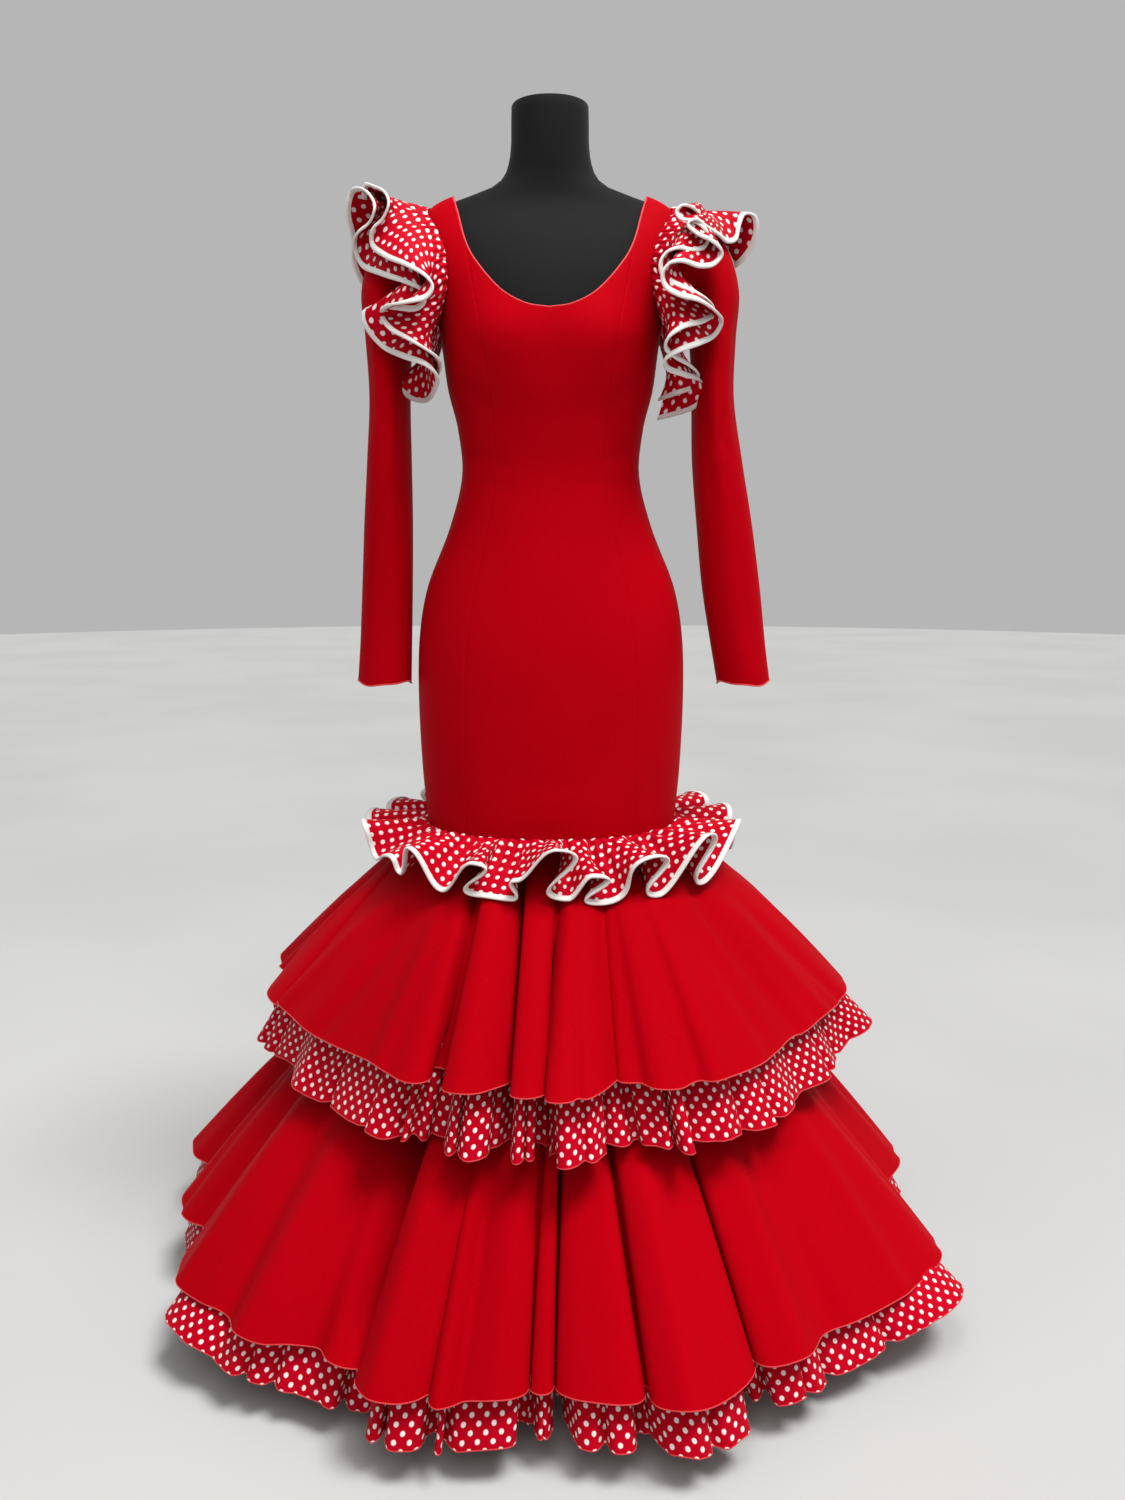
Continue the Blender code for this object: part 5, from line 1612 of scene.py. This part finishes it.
def make_shoulder_ruffle(strip):
    hand, layer = strip.hand, strip.layer
    grid, spans = shoulder_grid(edge_walk(strip), strip.root_scale, SHOULDER_COLUMNS, SHOULDER_ROWS)
    along, across = unrolled(grid, -1, SHOULDER_DOTS)
    grid = gathered(grid, spans, SHOULDER_GATHER, False)
    if hand == "right":
        grid, along, across = mirrored(grid), along[:, ::-1], across[:, ::-1]
    inner = grid[-1] - unit(grid[-1] - grid[-3]) * BIAS_WIDTH
    name = f"shoulder_ruffle_{layer}_{hand}"
    make_binding(f"shoulder_binding_{layer}_{hand}", inner, grid[-1], False)
    grid[-1] = mix(inner, grid[-1], IN_TAPE)
    piece = cloth(name, grid, along, across, dotted_finish, DOTTED_CLOTH, 0)
    dress(piece, "dotted_cloth", name)


for shoulder_strip in STRIPS:
    make_shoulder_ruffle(shoulder_strip)

# %% [markdown]
# ## Flounces
# A flounce is cut as a ring, so its seam edge is short and its hem is long. The spare length falls
# into cones that start narrow at the seam and open towards the hem. Each table below walks round
# the hem as the cloth lies, point by point; where a fold laps over its neighbour the walk turns back
# for a moment. Every column of cloth then runs from the seam to its place on the hem. A ring of
# equal cones would be quicker, but real cones differ in depth, spacing and lean.

# %% Hems, in degrees and millimetres
Edge = namedtuple("Edge", "turn radius")


def in_metres(kind, first, rows):
    """A table's rows, with the columns from number first on turned from millimetres to metres."""
    return [kind(*row[:first], *(value / 1000 for value in row[first:])) for row in rows]


UPPER_EDGE = in_metres(Edge, 1, [
    (-176, 399), (-171.5, 385), (-168, 374), (-164.5, 383), (-158.5, 405), (-153, 403), (-149, 388),
    (-145, 397), (-139, 419), (-133, 411), (-129, 391), (-125.5, 400), (-118, 432), (-112, 424),
    (-107.5, 396), (-104.5, 399), (-99.5, 414), (-93.5, 405), (-88.5, 381), (-85.5, 383), (-80.5, 402),
    (-75.5, 400), (-71.8, 389), (-72.8, 376), (-75.5, 372), (-76.5, 379), (-72, 385), (-64, 377),
    (-55.6, 373), (-46.4, 366), (-36.7, 365), (-30.5, 376), (-26, 385), (-23.3, 382), (-22.2, 370),
    (-22.9, 354), (-24.2, 343), (-23.6, 337), (-21.5, 338), (-19.4, 344), (-18.6, 356), (-19, 372),
    (-18.2, 387), (-15.5, 391), (-12.6, 386), (-9.5, 367), (-7.6, 353), (-7, 338), (-7.4, 324),
    (-6.4, 319), (-5.8, 335), (-6.5, 362), (-6.3, 384), (-4.5, 389), (-2.2, 386), (-0.7, 378),
    (-0.2, 362), (-0.9, 346), (-0.2, 338), (0.6, 350), (-0.3, 376), (-0.3, 394), (1.6, 399), (4, 395),
    (4.9, 388), (6.2, 392), (9.6, 375), (13, 352), (16.2, 340), (17.2, 332), (15.6, 331), (13.6, 344),
    (13.4, 357), (15, 362), (17, 366), (18.6, 384), (22.6, 394), (25.4, 387), (27.1, 386), (28.8, 397),
    (33.1, 396), (39.9, 394), (46.3, 387), (52, 380), (55, 381), (58, 388), (64.6, 392), (74.4, 410),
    (81.2, 420), (86, 418), (90.5, 404), (94.5, 388), (98.5, 387), (103, 406), (108, 419), (113, 414),
    (117.5, 396), (121.5, 402), (127.5, 422), (133, 409), (137, 386), (141.5, 396), (147, 411),
    (152.5, 400), (157, 384), (162, 393), (167.5, 404), (172, 388), (175, 376), (179, 386),
])
LOWER_EDGE = in_metres(Edge, 1, [
    (-178.5, 534), (-175, 526), (-172.5, 507), (-170, 497), (-167, 505), (-162, 531), (-157, 538),
    (-151, 528), (-147, 507), (-143.5, 517), (-138, 542), (-132, 538), (-129, 515), (-126, 500),
    (-123, 508), (-119.5, 535), (-114, 545), (-110, 530), (-107, 518), (-104, 526), (-99, 548),
    (-94, 552), (-90.5, 540), (-88, 514), (-86.5, 505), (-84, 513), (-80, 530), (-75, 533),
    (-71.5, 520), (-69.5, 503), (-67.5, 499), (-66, 508), (-63.5, 530), (-59.4, 545), (-56, 549),
    (-52, 540), (-48.5, 528), (-42.9, 532), (-39.3, 525), (-36.3, 505), (-32.5, 491), (-29.7, 501),
    (-27, 500), (-24.6, 488), (-24.4, 468), (-26.5, 448), (-26.8, 432), (-24.4, 434), (-23.6, 456),
    (-24.6, 488), (-24.6, 511), (-21.3, 528), (-18, 525), (-15.8, 513), (-14.7, 501), (-14.3, 499),
    (-14.5, 512), (-13.3, 521), (-11.8, 514), (-10.4, 504), (-7.5, 499), (-4.6, 494), (-2.9, 485),
    (-2.5, 472), (-3.2, 460), (-2.2, 456), (-1.7, 467), (-2.3, 479), (-1.2, 486), (0.2, 484),
    (0.8, 472), (0.2, 450), (0.4, 434), (2, 436), (2, 458), (1.1, 478), (2.8, 491), (6.3, 501),
    (9, 507), (11.3, 507), (12.3, 497), (11.8, 486), (12.2, 480), (13.1, 489), (12.7, 506), (13.4, 519),
    (16.2, 531), (19.7, 534), (23.4, 524), (26, 513), (27.5, 501), (27.5, 482), (26.3, 462),
    (27.2, 446), (29, 452), (29, 474), (28.2, 495), (29.2, 508), (31.5, 515), (35.3, 517), (39.5, 506),
    (44.9, 518), (51.2, 534), (57.6, 549), (63.5, 562), (67.5, 556), (70.2, 532), (72, 506),
    (75.5, 490), (80, 486), (84, 500), (88, 519), (92.5, 527), (97.5, 516), (101, 498), (104, 494),
    (108, 517), (113.5, 541), (118, 535), (121.5, 512), (124, 500), (127, 506), (130, 525), (135, 541),
    (141, 535), (144.5, 514), (147, 507), (150, 516), (156, 538), (162, 531), (165, 510), (168, 498),
    (171.5, 507), (176, 530),
])

# %% How the folds lean
# A fold needn't run straight up from the hem: shift is how far round, in degrees, its seam end lies
# from its hem end. Between the rows the lean changes evenly.
Lean = namedtuple("Lean", "turn shift")
UPPER_LEANS = [Lean(-70, 0), Lean(-23, -9), Lean(-7, -5), Lean(0, 7), Lean(15, 8), Lean(60, 0)]
LOWER_LEANS = [Lean(-40, 0), Lean(-10, 0), Lean(1.5, 6), Lean(12, 0.5), Lean(28, 3), Lean(60, 0)]
HEM_SOFTNESS = 0.0022  # how tightly the hem turns, as a reach in metres
TURN_SOFTNESS = 0.030  # a fold narrower than this shares its neighbours' place on the seam
LEAN_SOFTNESS = 0.010
MEAN_SOFTNESS = 0.060


def evenly(points, count):
    """The same closed line with count points, equally far apart."""
    run, total = line_lengths(points, True)
    at = np.arange(count) / count * total
    run = np.append(run, total)
    points = np.concatenate([points, points[:1]])
    return np.stack([np.interp(at, run, points[:, k]) for k in range(points.shape[1])], -1), total


def hem_line(edges, leans, count):
    """The hem in plan, the turn of each column's seam end, the hem's mean radius and its length."""
    angle, radius = np.radians(column(edges, "turn")), column(edges, "radius")
    plan = np.stack([radius * np.sin(angle), -radius * np.cos(angle)], -1)
    line, total = evenly(curve_through(plan, True), count)
    spacing = total / count
    even = np.arange(count) * 360 / count
    line = soften(line, HEM_SOFTNESS, spacing)
    turn = np.degrees(np.unwrap(np.arctan2(line[:, 0], -line[:, 1])))
    seam = soften(turn - even, TURN_SOFTNESS, spacing) + even
    seam = np.maximum.accumulate(seam)
    seam = seam + np.interp(seam, column(leans, "turn"), column(leans, "shift"))
    seam = soften(seam - even, LEAN_SOFTNESS, spacing) + even
    mean = soften(np.hypot(line[:, 0], line[:, 1]), MEAN_SOFTNESS, spacing)
    return line, seam, mean, total


# %% Troughs and ridges
# Soft troughs, and ridges where depth is negative, over the flounces' cones. Each runs from a seam
# turn and a share of the length down to another; depth and half width are in millimetres.
Trough = namedtuple("Trough", "turn share to_turn to_share depth half_width")
UPPER_TROUGHS = in_metres(Trough, 4, [
    (-32, 0, -32, 0.8, 16, 13), (-12, 0, -12, 0.8, 16, 11), (8, 0, 8, 0.8, 17, 11),
    (23, 0, 23, 0.8, 14, 12), (-47, 0.25, -57, 1, 7, 19), (-60, 0.3, -71, 1, -6, 20),
    (-39, 0.2, -41, 1, -5, 16), (-22, 0.1, -22, 1, -3, 14), (34, 0.15, 36, 1, -5, 20),
    (44, 0.3, 48, 1, 3.5, 18), (52, 0.2, 58, 1, 6, 17), (62, 0.25, 67, 1, -5, 18),
    (70, 0.35, 76, 1, 5, 14), (84, 0.3, 88, 1, -4.5, 15), (99, 0.25, 103, 1, 5, 12),
    (112, 0.3, 109, 1, -5, 14), (124, 0.2, 129, 1, 6, 13), (134, 0.35, 131, 1, -4, 10),
    (146, 0.25, 149, 1, 5, 12), (158, 0.3, 163, 1, -4.5, 13), (171, 0.2, 168, 1, 5.5, 12),
    (-176, 0.3, -178, 1, -5, 13), (-166, 0.25, -160, 1, 5, 11), (-154, 0.3, -156, 1, -4.5, 14),
    (-141, 0.2, -136, 1, 6, 12), (-128, 0.3, -122, 1, -4.5, 14), (-116, 0.25, -119, 1, 5.5, 12),
    (-104, 0.3, -100, 1, -5, 13), (-90, 0.25, -96, 1, 5.5, 12), (-80, 0.3, -83, 1, -4.5, 12),
])
LOWER_TROUGHS = in_metres(Trough, 4, [
    (-28.5, 0, -27, 0.86, 48, 25), (7.5, 0, 7.5, 0.8, 20, 15), (12.5, 0, 12.5, 0.85, 15, 12),
    (31, 0, 31, 0.84, 38, 20), (-60, 0.25, -57, 1, -6, 20), (-53, 0.25, -47, 1, 6, 20),
    (-44, 0.3, -43, 1, -5, 20), (-36, 0.2, -34, 1, 7, 16), (-21, 0.2, -21, 1, -6, 18),
    (-15.5, 0.2, -15.5, 1, -5, 12), (-10.5, 0.1, -11, 1, 7, 12), (-4, 0.2, -5, 1, -5, 16),
    (18, 0.25, 18, 1, -6, 18), (23, 0.2, 22, 1, 4, 16), (39, 0.2, 36, 1, -6, 20),
    (47, 0.25, 43, 1, 5, 20), (56, 0.3, 54, 1, -6, 20), (66, 0.25, 67, 1, 5.5, 14),
    (78, 0.3, 76, 1, -4.5, 14), (88, 0.25, 92, 1, 6, 15), (101, 0.3, 99, 1, -5, 16),
    (113, 0.2, 116, 1, 6, 14), (124, 0.3, 121, 1, -4.5, 14), (137, 0.25, 139, 1, 6, 15),
    (149, 0.3, 146, 1, -5, 14), (158, 0.2, 161, 1, 5.5, 14), (172, 0.3, 170, 1, -5, 15),
    (-177, 0.25, -175, 1, 6, 15), (-164, 0.3, -167, 1, -4.5, 14), (-153, 0.25, -150, 1, 6, 15),
    (-140, 0.3, -143, 1, -5, 15), (-129, 0.2, -127, 1, 5.5, 13), (-117, 0.3, -119, 1, -5, 15),
    (-104, 0.25, -101, 1, 6, 15), (-92, 0.3, -95, 1, -5, 14), (-79, 0.25, -76, 1, 6, 14),
])
TROUGH_FADE = 0.30  # the share of the flounce's length over which a trough comes and goes
TROUGH_RUN_OUT = 0.20  # how far past its end a trough that stops short of the hem still fades
TROUGH_DIP = -0.8  # a trough is pressed inwards and this much down


# %% Pressing the troughs in
def creased(grid, seam, troughs):
    """Presses troughs and ridges into a flounce."""
    count = grid.shape[1]
    shares = np.linspace(1, 0, len(grid))[:, None]
    spacing = np.linalg.norm(np.roll(grid, -1, 1) - grid, axis=2).mean(1)[:, None]
    columns = np.arange(-count, 2 * count)
    turns = np.concatenate([seam - 360, seam, seam + 360])
    depth = np.zeros(grid.shape[:2])
    for trough in troughs:
        along = np.clip((shares - trough.share) / (trough.to_share - trough.share), 0, 1)
        middle = np.interp(mix(trough.turn, trough.to_turn, along), turns, columns)
        off = short_way(np.arange(count)[None, :] - middle, count)
        fade = np.clip((shares - trough.share) / TROUGH_FADE, 0, 1)
        if trough.to_share < 1:
            fade = fade * np.clip((trough.to_share + TROUGH_RUN_OUT - shares) / TROUGH_FADE, 0, 1)
        depth += trough.depth * eased(fade) * np.exp(-((off * spacing / trough.half_width) ** 2))
    angle = np.radians(seam)
    inwards = unit(np.stack([-np.sin(angle), np.cos(angle), np.full(count, TROUGH_DIP)], -1))
    return grid + inwards * depth[..., None]


# %% From the seam to the hem
MERGE = 0.011  # at the seam, a fold narrower than this has merged with its neighbours
HEM_DETAIL = 0.0010
ARCH = 0.006  # how far a flounce bows out between its seam and its hem
ARCH_LEAN = 0.7  # of the bow, both outwards and up
FOLD_EASE = 0.66  # below 1 the folds open early on their way down


def flounce_grid(edge_rows, leans, troughs, root, hem_height, count, rows):
    line, seam, mean, total = hem_line(edge_rows, leans, count)
    start = root(seam)
    angle = np.radians(seam)
    mean_plan = np.stack([mean * np.sin(angle), -mean * np.cos(angle)], -1)
    aside = line - mean_plan
    outwards = unit(mean_plan)
    grid = []
    for share in np.linspace(1, 0, rows):
        swell = ARCH * np.sin(pi * share)
        merged = soften(aside, mix(MERGE, HEM_DETAIL, share), total / count)
        swing = merged * share**FOLD_EASE
        plan = mix(start[:, :2], mean_plan, share) + swing + outwards * (swell * ARCH_LEAN)
        height = mix(start[:, 2], hem_height, share) + swell * ARCH_LEAN
        grid.append(np.concatenate([plan, np.broadcast_to(height, (count,))[:, None]], 1))
    return creased(np.stack(grid), seam, troughs), total


# %% Where the flounces are sewn
UPPER_HEM_HEIGHT = 0.394
LOWER_HEM_HEIGHT = 0.100
BASE_SKIRT_RADIUS = 0.250
BASE_SKIRT_HEIGHT = 0.412
UPPER_SEWN = 0.0012  # under the knee seam and inside its line
LOWER_SEWN = 0.0018  # under the base skirt's edge


def upper_root(turn):
    return body_point(turn, KNEE_SEAM - UPPER_SEWN, -UPPER_SEWN)


def lower_root(turn):
    angle = np.radians(turn)
    height = np.full(angle.shape, BASE_SKIRT_HEIGHT - LOWER_SEWN)
    return np.stack([BASE_SKIRT_RADIUS * np.sin(angle), -BASE_SKIRT_RADIUS * np.cos(angle), height], -1)


# %% Make the flounces
FLOUNCE_CLOTH = 0.0012
FLOUNCE_HEM_RADIUS = 0.0009
UPPER_COLUMNS, UPPER_ROWS = 900, 28
LOWER_COLUMNS, LOWER_ROWS = 1060, 29


def make_flounce(name, grid, total):
    run, _ = line_lengths(grid[0], True)
    across = down_rows(grid)
    piece = cloth(name, grid, run[None, :], across[:, None], crepe_finish, FLOUNCE_CLOTH, 0, closed=True)
    dress(piece, "crepe_red", name)
    hem = tube(name + "_rolled_hem", grid[0], FLOUNCE_HEM_RADIUS, hem_finish)
    dress(hem, "crepe_red")
    print(name, "hem", round(total, 2), "m, length", round(across[-1], 3), "m")


upper_grid, upper_total = flounce_grid(UPPER_EDGE, UPPER_LEANS, UPPER_TROUGHS, upper_root,
                                       UPPER_HEM_HEIGHT, UPPER_COLUMNS, UPPER_ROWS)
lower_grid, lower_total = flounce_grid(LOWER_EDGE, LOWER_LEANS, LOWER_TROUGHS, lower_root,
                                       LOWER_HEM_HEIGHT, LOWER_COLUMNS, LOWER_ROWS)
make_flounce("upper_flounce", upper_grid, upper_total)
make_flounce("lower_flounce", lower_grid, lower_total)

# %% [markdown]
# ## Dotted ruffles under the flounces
# Each flounce has a gathered strip of the dotted cloth sewn to its wrong side a little above the
# hem, so the dots peep out below it. The strip starts from the flounce's own row of points, moved
# inwards, so it follows every fold; uneven gathers of its own are laid over that. A ruffle made on
# its own circle would cut through the flounce wherever a fold turns back.

# %% Dotted ruffles' tables
# sewn_at is a share of the flounce's length; inside is how far in from it the strip is sewn.
Under = namedtuple("Under", "sewn_at inside length gathers depth spread")
UPPER_UNDER = Under(0.84, 0.0110, 0.118, 52, 0.0165, 0.46)
LOWER_UNDER = Under(0.88, 0.0105, 0.094, 58, 0.0165, 0.40)
# At a flare the strip hangs smoother, with broad waves in place of gathers, and stands out more.
Flare = namedtuple("Flare", "turn half_width more")
UPPER_FLARES = [Flare(-60, 12, 0.0), Flare(57, 10, 0.04), Flare(84, 10, 0.24)]
LOWER_FLARES = [Flare(-54, 11, 0.36), Flare(61, 11, 0.42)]
# Where a gather's columns of points lie, in millimetres from its middle.
GATHER_STEPS = (-27, -20, -14, -10, -7, -4.6, -2.6, -0.9, 0.9, 2.6, 4.6, 7, 10, 14, 20, 27)
CLOSEST = 0.0014  # columns of neighbouring gathers that would come closer than this are dropped


# %% A row of gathers
def at_share(grid, share):
    """A flounce's row part of the way from its seam to its hem."""
    at = (1 - share) * (len(grid) - 1)
    i = int(at)
    return mix(grid[i], grid[i + 1], at - i)


def level_normals(line):
    """The level way out from a closed line, square to it."""
    ahead = np.roll(line, -1, 0) - np.roll(line, 1, 0)
    side = np.stack([ahead[:, 1], -ahead[:, 0], np.zeros(len(line))], -1)
    return unit(side)


def gather_line(total, count):
    """Uneven gathers along a line, and the places of its columns of points."""
    i = np.arange(count)
    middle = (i + 0.5 + 0.24 * np.sin(2.1 * i + 0.6) + 0.16 * np.sin(5.3 * i)) * total / count
    deep = 0.62 + 0.28 * np.sin(3.7 * i + 1.0) + 0.10 * np.sin(1.3 * i)
    lean = 0.55 * np.sin(2.9 * i + 0.4) + 0.25 * np.sin(0.7 * i)
    places = (middle[:, None] + np.array(GATHER_STEPS)[None, :] * 0.001).ravel() % total
    places = np.unique(np.round(places, 5))
    keep = np.concatenate([[True], np.diff(places) > CLOSEST])
    return middle, deep, lean, places[keep]


TILT, TILT_WIDTH, TILT_REACH = 0.8, 0.020, 0.022  # a gather's two sides differ in height


def gather_shape(places, total, gathering, width):
    """How far the cloth stands out, from about 1 on the flat parts to -1 inside a gather."""
    middle, deep, lean, _ = gathering
    off = short_way(places[None, :] - middle[:, None], total)
    shape = 1 - 2 * (deep[:, None] * np.exp(-((off / width) ** 2))).sum(0)
    tilt = lean[:, None] * np.clip(off / TILT_WIDTH, -1, 1) * np.exp(-((off / TILT_REACH) ** 2))
    return shape + TILT * tilt.sum(0)


# %% The strip under a flounce
LINE_SOFTNESS = 0.004
NORMAL_SOFTNESS = 0.006
OUTWARDS_SOFTNESS = 0.05
LEVEL = np.array([1, 1, 0])
TUCK = 0.012  # where a fold's wall runs straight outwards, the strip is sewn this much further in
SEWN_LOWER = 0.7  # of inside: how far below the flounce's row the strip is sewn
GATHER_WIDTH, FLUTE_WIDTH = 0.0030, 0.0062  # of a gather, at the seam and at the edge
SEAM_DEPTH, DEPTH_EASE = 0.16, 0.8  # a gather's depth at the seam, and how early it deepens
INWARDS = 0.55  # the gathers swing mostly inwards, away from the flounce
CALMED = 0.97  # how much of the gathers a flare takes away
CALM_REACH = 1.5
WANDER, FLARE_WANDER = 0.004, 0.014


def flare_nearness(turn, flares, reach=1.0):
    return [np.exp(-(((turn - flare.turn) / (reach * flare.half_width)) ** 2)) for flare in flares]


def sewn_line(grid, under):
    """The line on which the strip is sewn, the way out from it, and its length and points."""
    sewn = at_share(grid, under.sewn_at)
    run, total = line_lengths(sewn, True)
    spacing = total / len(sewn)
    sewn = soften(sewn, LINE_SOFTNESS, spacing)
    normal = soften(level_normals(sewn), NORMAL_SOFTNESS, spacing)
    radial = unit(sewn * LEVEL)
    facing = np.clip((normal * radial).sum(1, keepdims=True), 0, 1)
    normal = unit(mix(radial, normal, facing))
    tuck = under.inside + soften(1 - facing, NORMAL_SOFTNESS, spacing) * TUCK
    top = sewn - normal * tuck - np.array([0, 0, under.inside * SEWN_LOWER])
    outwards = unit(soften(top * LEVEL, OUTWARDS_SOFTNESS, spacing))
    return run, total, top, normal, outwards


# %% The strip's own gathers
def under_grid(grid, under, flares, rows=14):
    """A gathered strip from its sewn line to its edge."""
    run, total, *lines = sewn_line(grid, under)
    gathering = gather_line(total, under.gathers)
    places = gathering[3]

    def at_places(values):
        looped = np.concatenate([values, values[:1]])
        return np.stack([np.interp(places, np.append(run, total), looped[:, k]) for k in range(3)], -1)

    top, normal, outwards = (at_places(line) for line in lines)
    turn = np.degrees(np.arctan2(top[:, 0], -top[:, 1]))
    nearness = flare_nearness(turn, flares)
    spread = under.spread + sum(flare.more * near for flare, near in zip(flares, nearness))
    drop = (1 - spread**2) ** 0.5
    quiet = np.max(flare_nearness(turn, flares, CALM_REACH), 0)
    calm = 1 - CALMED * quiet
    wander = np.sin(places / total * tau * 9 + 1) * 0.5 + np.sin(places / total * tau * 23) * 0.5
    out = []
    for share in np.linspace(1, 0, rows):
        shape = gather_shape(places, total, gathering, mix(GATHER_WIDTH, FLUTE_WIDTH, share))
        deepening = mix(SEAM_DEPTH, 1.0, share**DEPTH_EASE)
        flutes = calm * under.depth * deepening * (shape - INWARDS)
        swing = flutes + (WANDER + FLARE_WANDER * quiet) * share * wander
        place = top + outwards * (under.length * spread * share)[:, None] + normal * swing[:, None]
        place[:, 2] -= under.length * drop * share
        out.append(place)
    return np.stack(out)


# %% Make the dotted ruffles
UNDER_HEM_RADIUS = 0.0008


def whole_dots(run, total):
    """A ruffle's map along its edge, stretched to a whole number of dots where it closes."""
    count = round(total / DOT_PITCH)
    return run * (count * DOT_PITCH / total)


def make_under(name, grid, under, flares):
    made = under_grid(grid, under, flares)
    spans = np.linspace(1, 0, len(made))
    run, total = line_lengths(made[0], True)
    piece = cloth(name, made, whole_dots(run, total)[None, :], (spans * under.length)[:, None],
                  dotted_finish, DOTTED_CLOTH, 0, closed=True, around=whole_dots(total, total))
    dress(piece, "dotted_cloth", name)
    hem = tube(name + "_rolled_hem", made[0], UNDER_HEM_RADIUS, hem_finish)
    dress(hem, "dotted_cloth")
    print(name, "edge", round(total, 2), "m")


make_under("upper_dotted_ruffle", upper_grid, UPPER_UNDER, UPPER_FLARES)
make_under("lower_dotted_ruffle", lower_grid, LOWER_UNDER, LOWER_FLARES)

# %% [markdown]
# ## Base skirt
# The lower flounce hangs from a plain skirt part inside the upper one, from the knee seam to a level
# edge. It is never seen, so a smooth cone is enough, but without it the flounce would hang from
# nothing.

# %% Base skirt
BASE_SEWN_LOWER = 0.0028
BASE_SEWN_INSIDE = 0.0026


def make_base_skirt(columns=120, rows=10):
    turn = np.arange(columns) * 360 / columns
    top = body_point(turn, KNEE_SEAM - BASE_SEWN_LOWER, -BASE_SEWN_INSIDE)
    low = lower_root(turn)
    low[:, 2] = BASE_SKIRT_HEIGHT
    shares = np.linspace(1, 0, rows)
    grid = np.stack([mix(top, low, share) for share in shares])
    run, _ = line_lengths(grid[0], True)
    across = (1 - shares) * np.linalg.norm(top - low, axis=1).mean()
    piece = cloth("base_skirt", grid, run[None, :], across[:, None], crepe_finish, CLOTH, 0, closed=True)
    dress(piece, "crepe_red", "base_skirt")


make_base_skirt()

# %% [markdown]
# ## Dress form
# The form is a limbless torso covered in black stretch jersey. The cover is matt, with a fine knit
# and a little lint, and its neck ends in a flat cap. It lies just inside the dress's own surface,
# close at the waist and looser elsewhere; a separate sculpted torso would touch the cloth in places.

# %% Form cover
FORM_BLACK = (0.0045, 0.0042, 0.0046, 1)
LINT_GREY = (0.022, 0.021, 0.022, 1)

form_finish = finish_of("form_cover_finish", 0.80, Sheen_Weight=0.04, Sheen_Roughness=0.5,
                        Specular_IOR_Level=0.12)
knit_place = object_place(form_finish)
knit = noise(form_finish, knit_place, 1300.0, 1.0)
lint = ramp(form_finish, noise(form_finish, knit_place, 420.0, 3.0), 0.62, 0.80, 0.0, 0.25)
wire(form_finish, "Base Color", blend_colour(form_finish, lint, FORM_BLACK, LINT_GREY))
wire(form_finish, "Normal", bump(form_finish, knit, 0.25, 0.0004))
print(form_finish.name)

# %% The form's measures
FORM_INSET = 0.0050
FORM_TOUCH = 0.0012
FORM_DROP = 0.0030
FORM_BOTTOM = 0.740
FORM_TOP = 1.562
WAIST = 1.100
WAIST_REACH = 0.030
CROWN_RISE = 0.0028
# How far in towards the middle each ring of the cap lies, as a share, and how much it is lifted.
CAP_RINGS = ((0.015, 0.0009), (0.05, 0.0016), (0.3, 0.0010), (0.65, 0.0004), (0.995, 0.0))
BASE_RINGS = (0.995, 0.5, 0.08, 0.02)
MAPPED_RING = 60  # the ring at the bust, whose length the cover's map takes


# %% Make the form
def fill_holes(piece):
    """Closes each open ring of edges with a face, as F does in edit mode."""
    pick(piece)
    bpy.ops.object.mode_set(mode="EDIT")
    bpy.ops.mesh.select_all(action="DESELECT")
    bpy.ops.mesh.select_mode(type="EDGE")
    bpy.ops.mesh.select_non_manifold()
    bpy.ops.mesh.edge_face_add()
    bpy.ops.object.mode_set(mode="OBJECT")


def make_form(columns=96, rows=84):
    heights = np.linspace(FORM_BOTTOM, FORM_TOP, rows)
    inset = mix(FORM_INSET, FORM_TOUCH, np.exp(-(((heights - WAIST) / WAIST_REACH) ** 2)))
    drop = np.where(heights > UNDERARM, FORM_DROP, 0.0)
    turn = np.arange(columns) * 360 / columns
    grid = body_point(turn[None, :], heights[:, None], -inset[:, None], cups=False)
    grid[..., 2] -= drop[:, None]
    crown = grid[-1].mean(0) + np.array([0, 0, CROWN_RISE])
    bottom = grid[0].mean(0)
    cap = [mix(grid[-1], crown, share) + np.array([0, 0, lift]) for share, lift in CAP_RINGS]
    base = [mix(grid[0], bottom, share) for share in BASE_RINGS]
    grid = np.concatenate([np.stack(base), grid, np.stack(cap)])
    run, _ = line_lengths(grid[MAPPED_RING], True)
    mesh = sheet_mesh("form_torso", grid, run[None, :], down_rows(grid)[:, None], True)
    piece = add_piece("form_torso", mesh, form_finish)
    fill_holes(piece)
    dress(piece, "form_cover", "form_torso")


make_form()
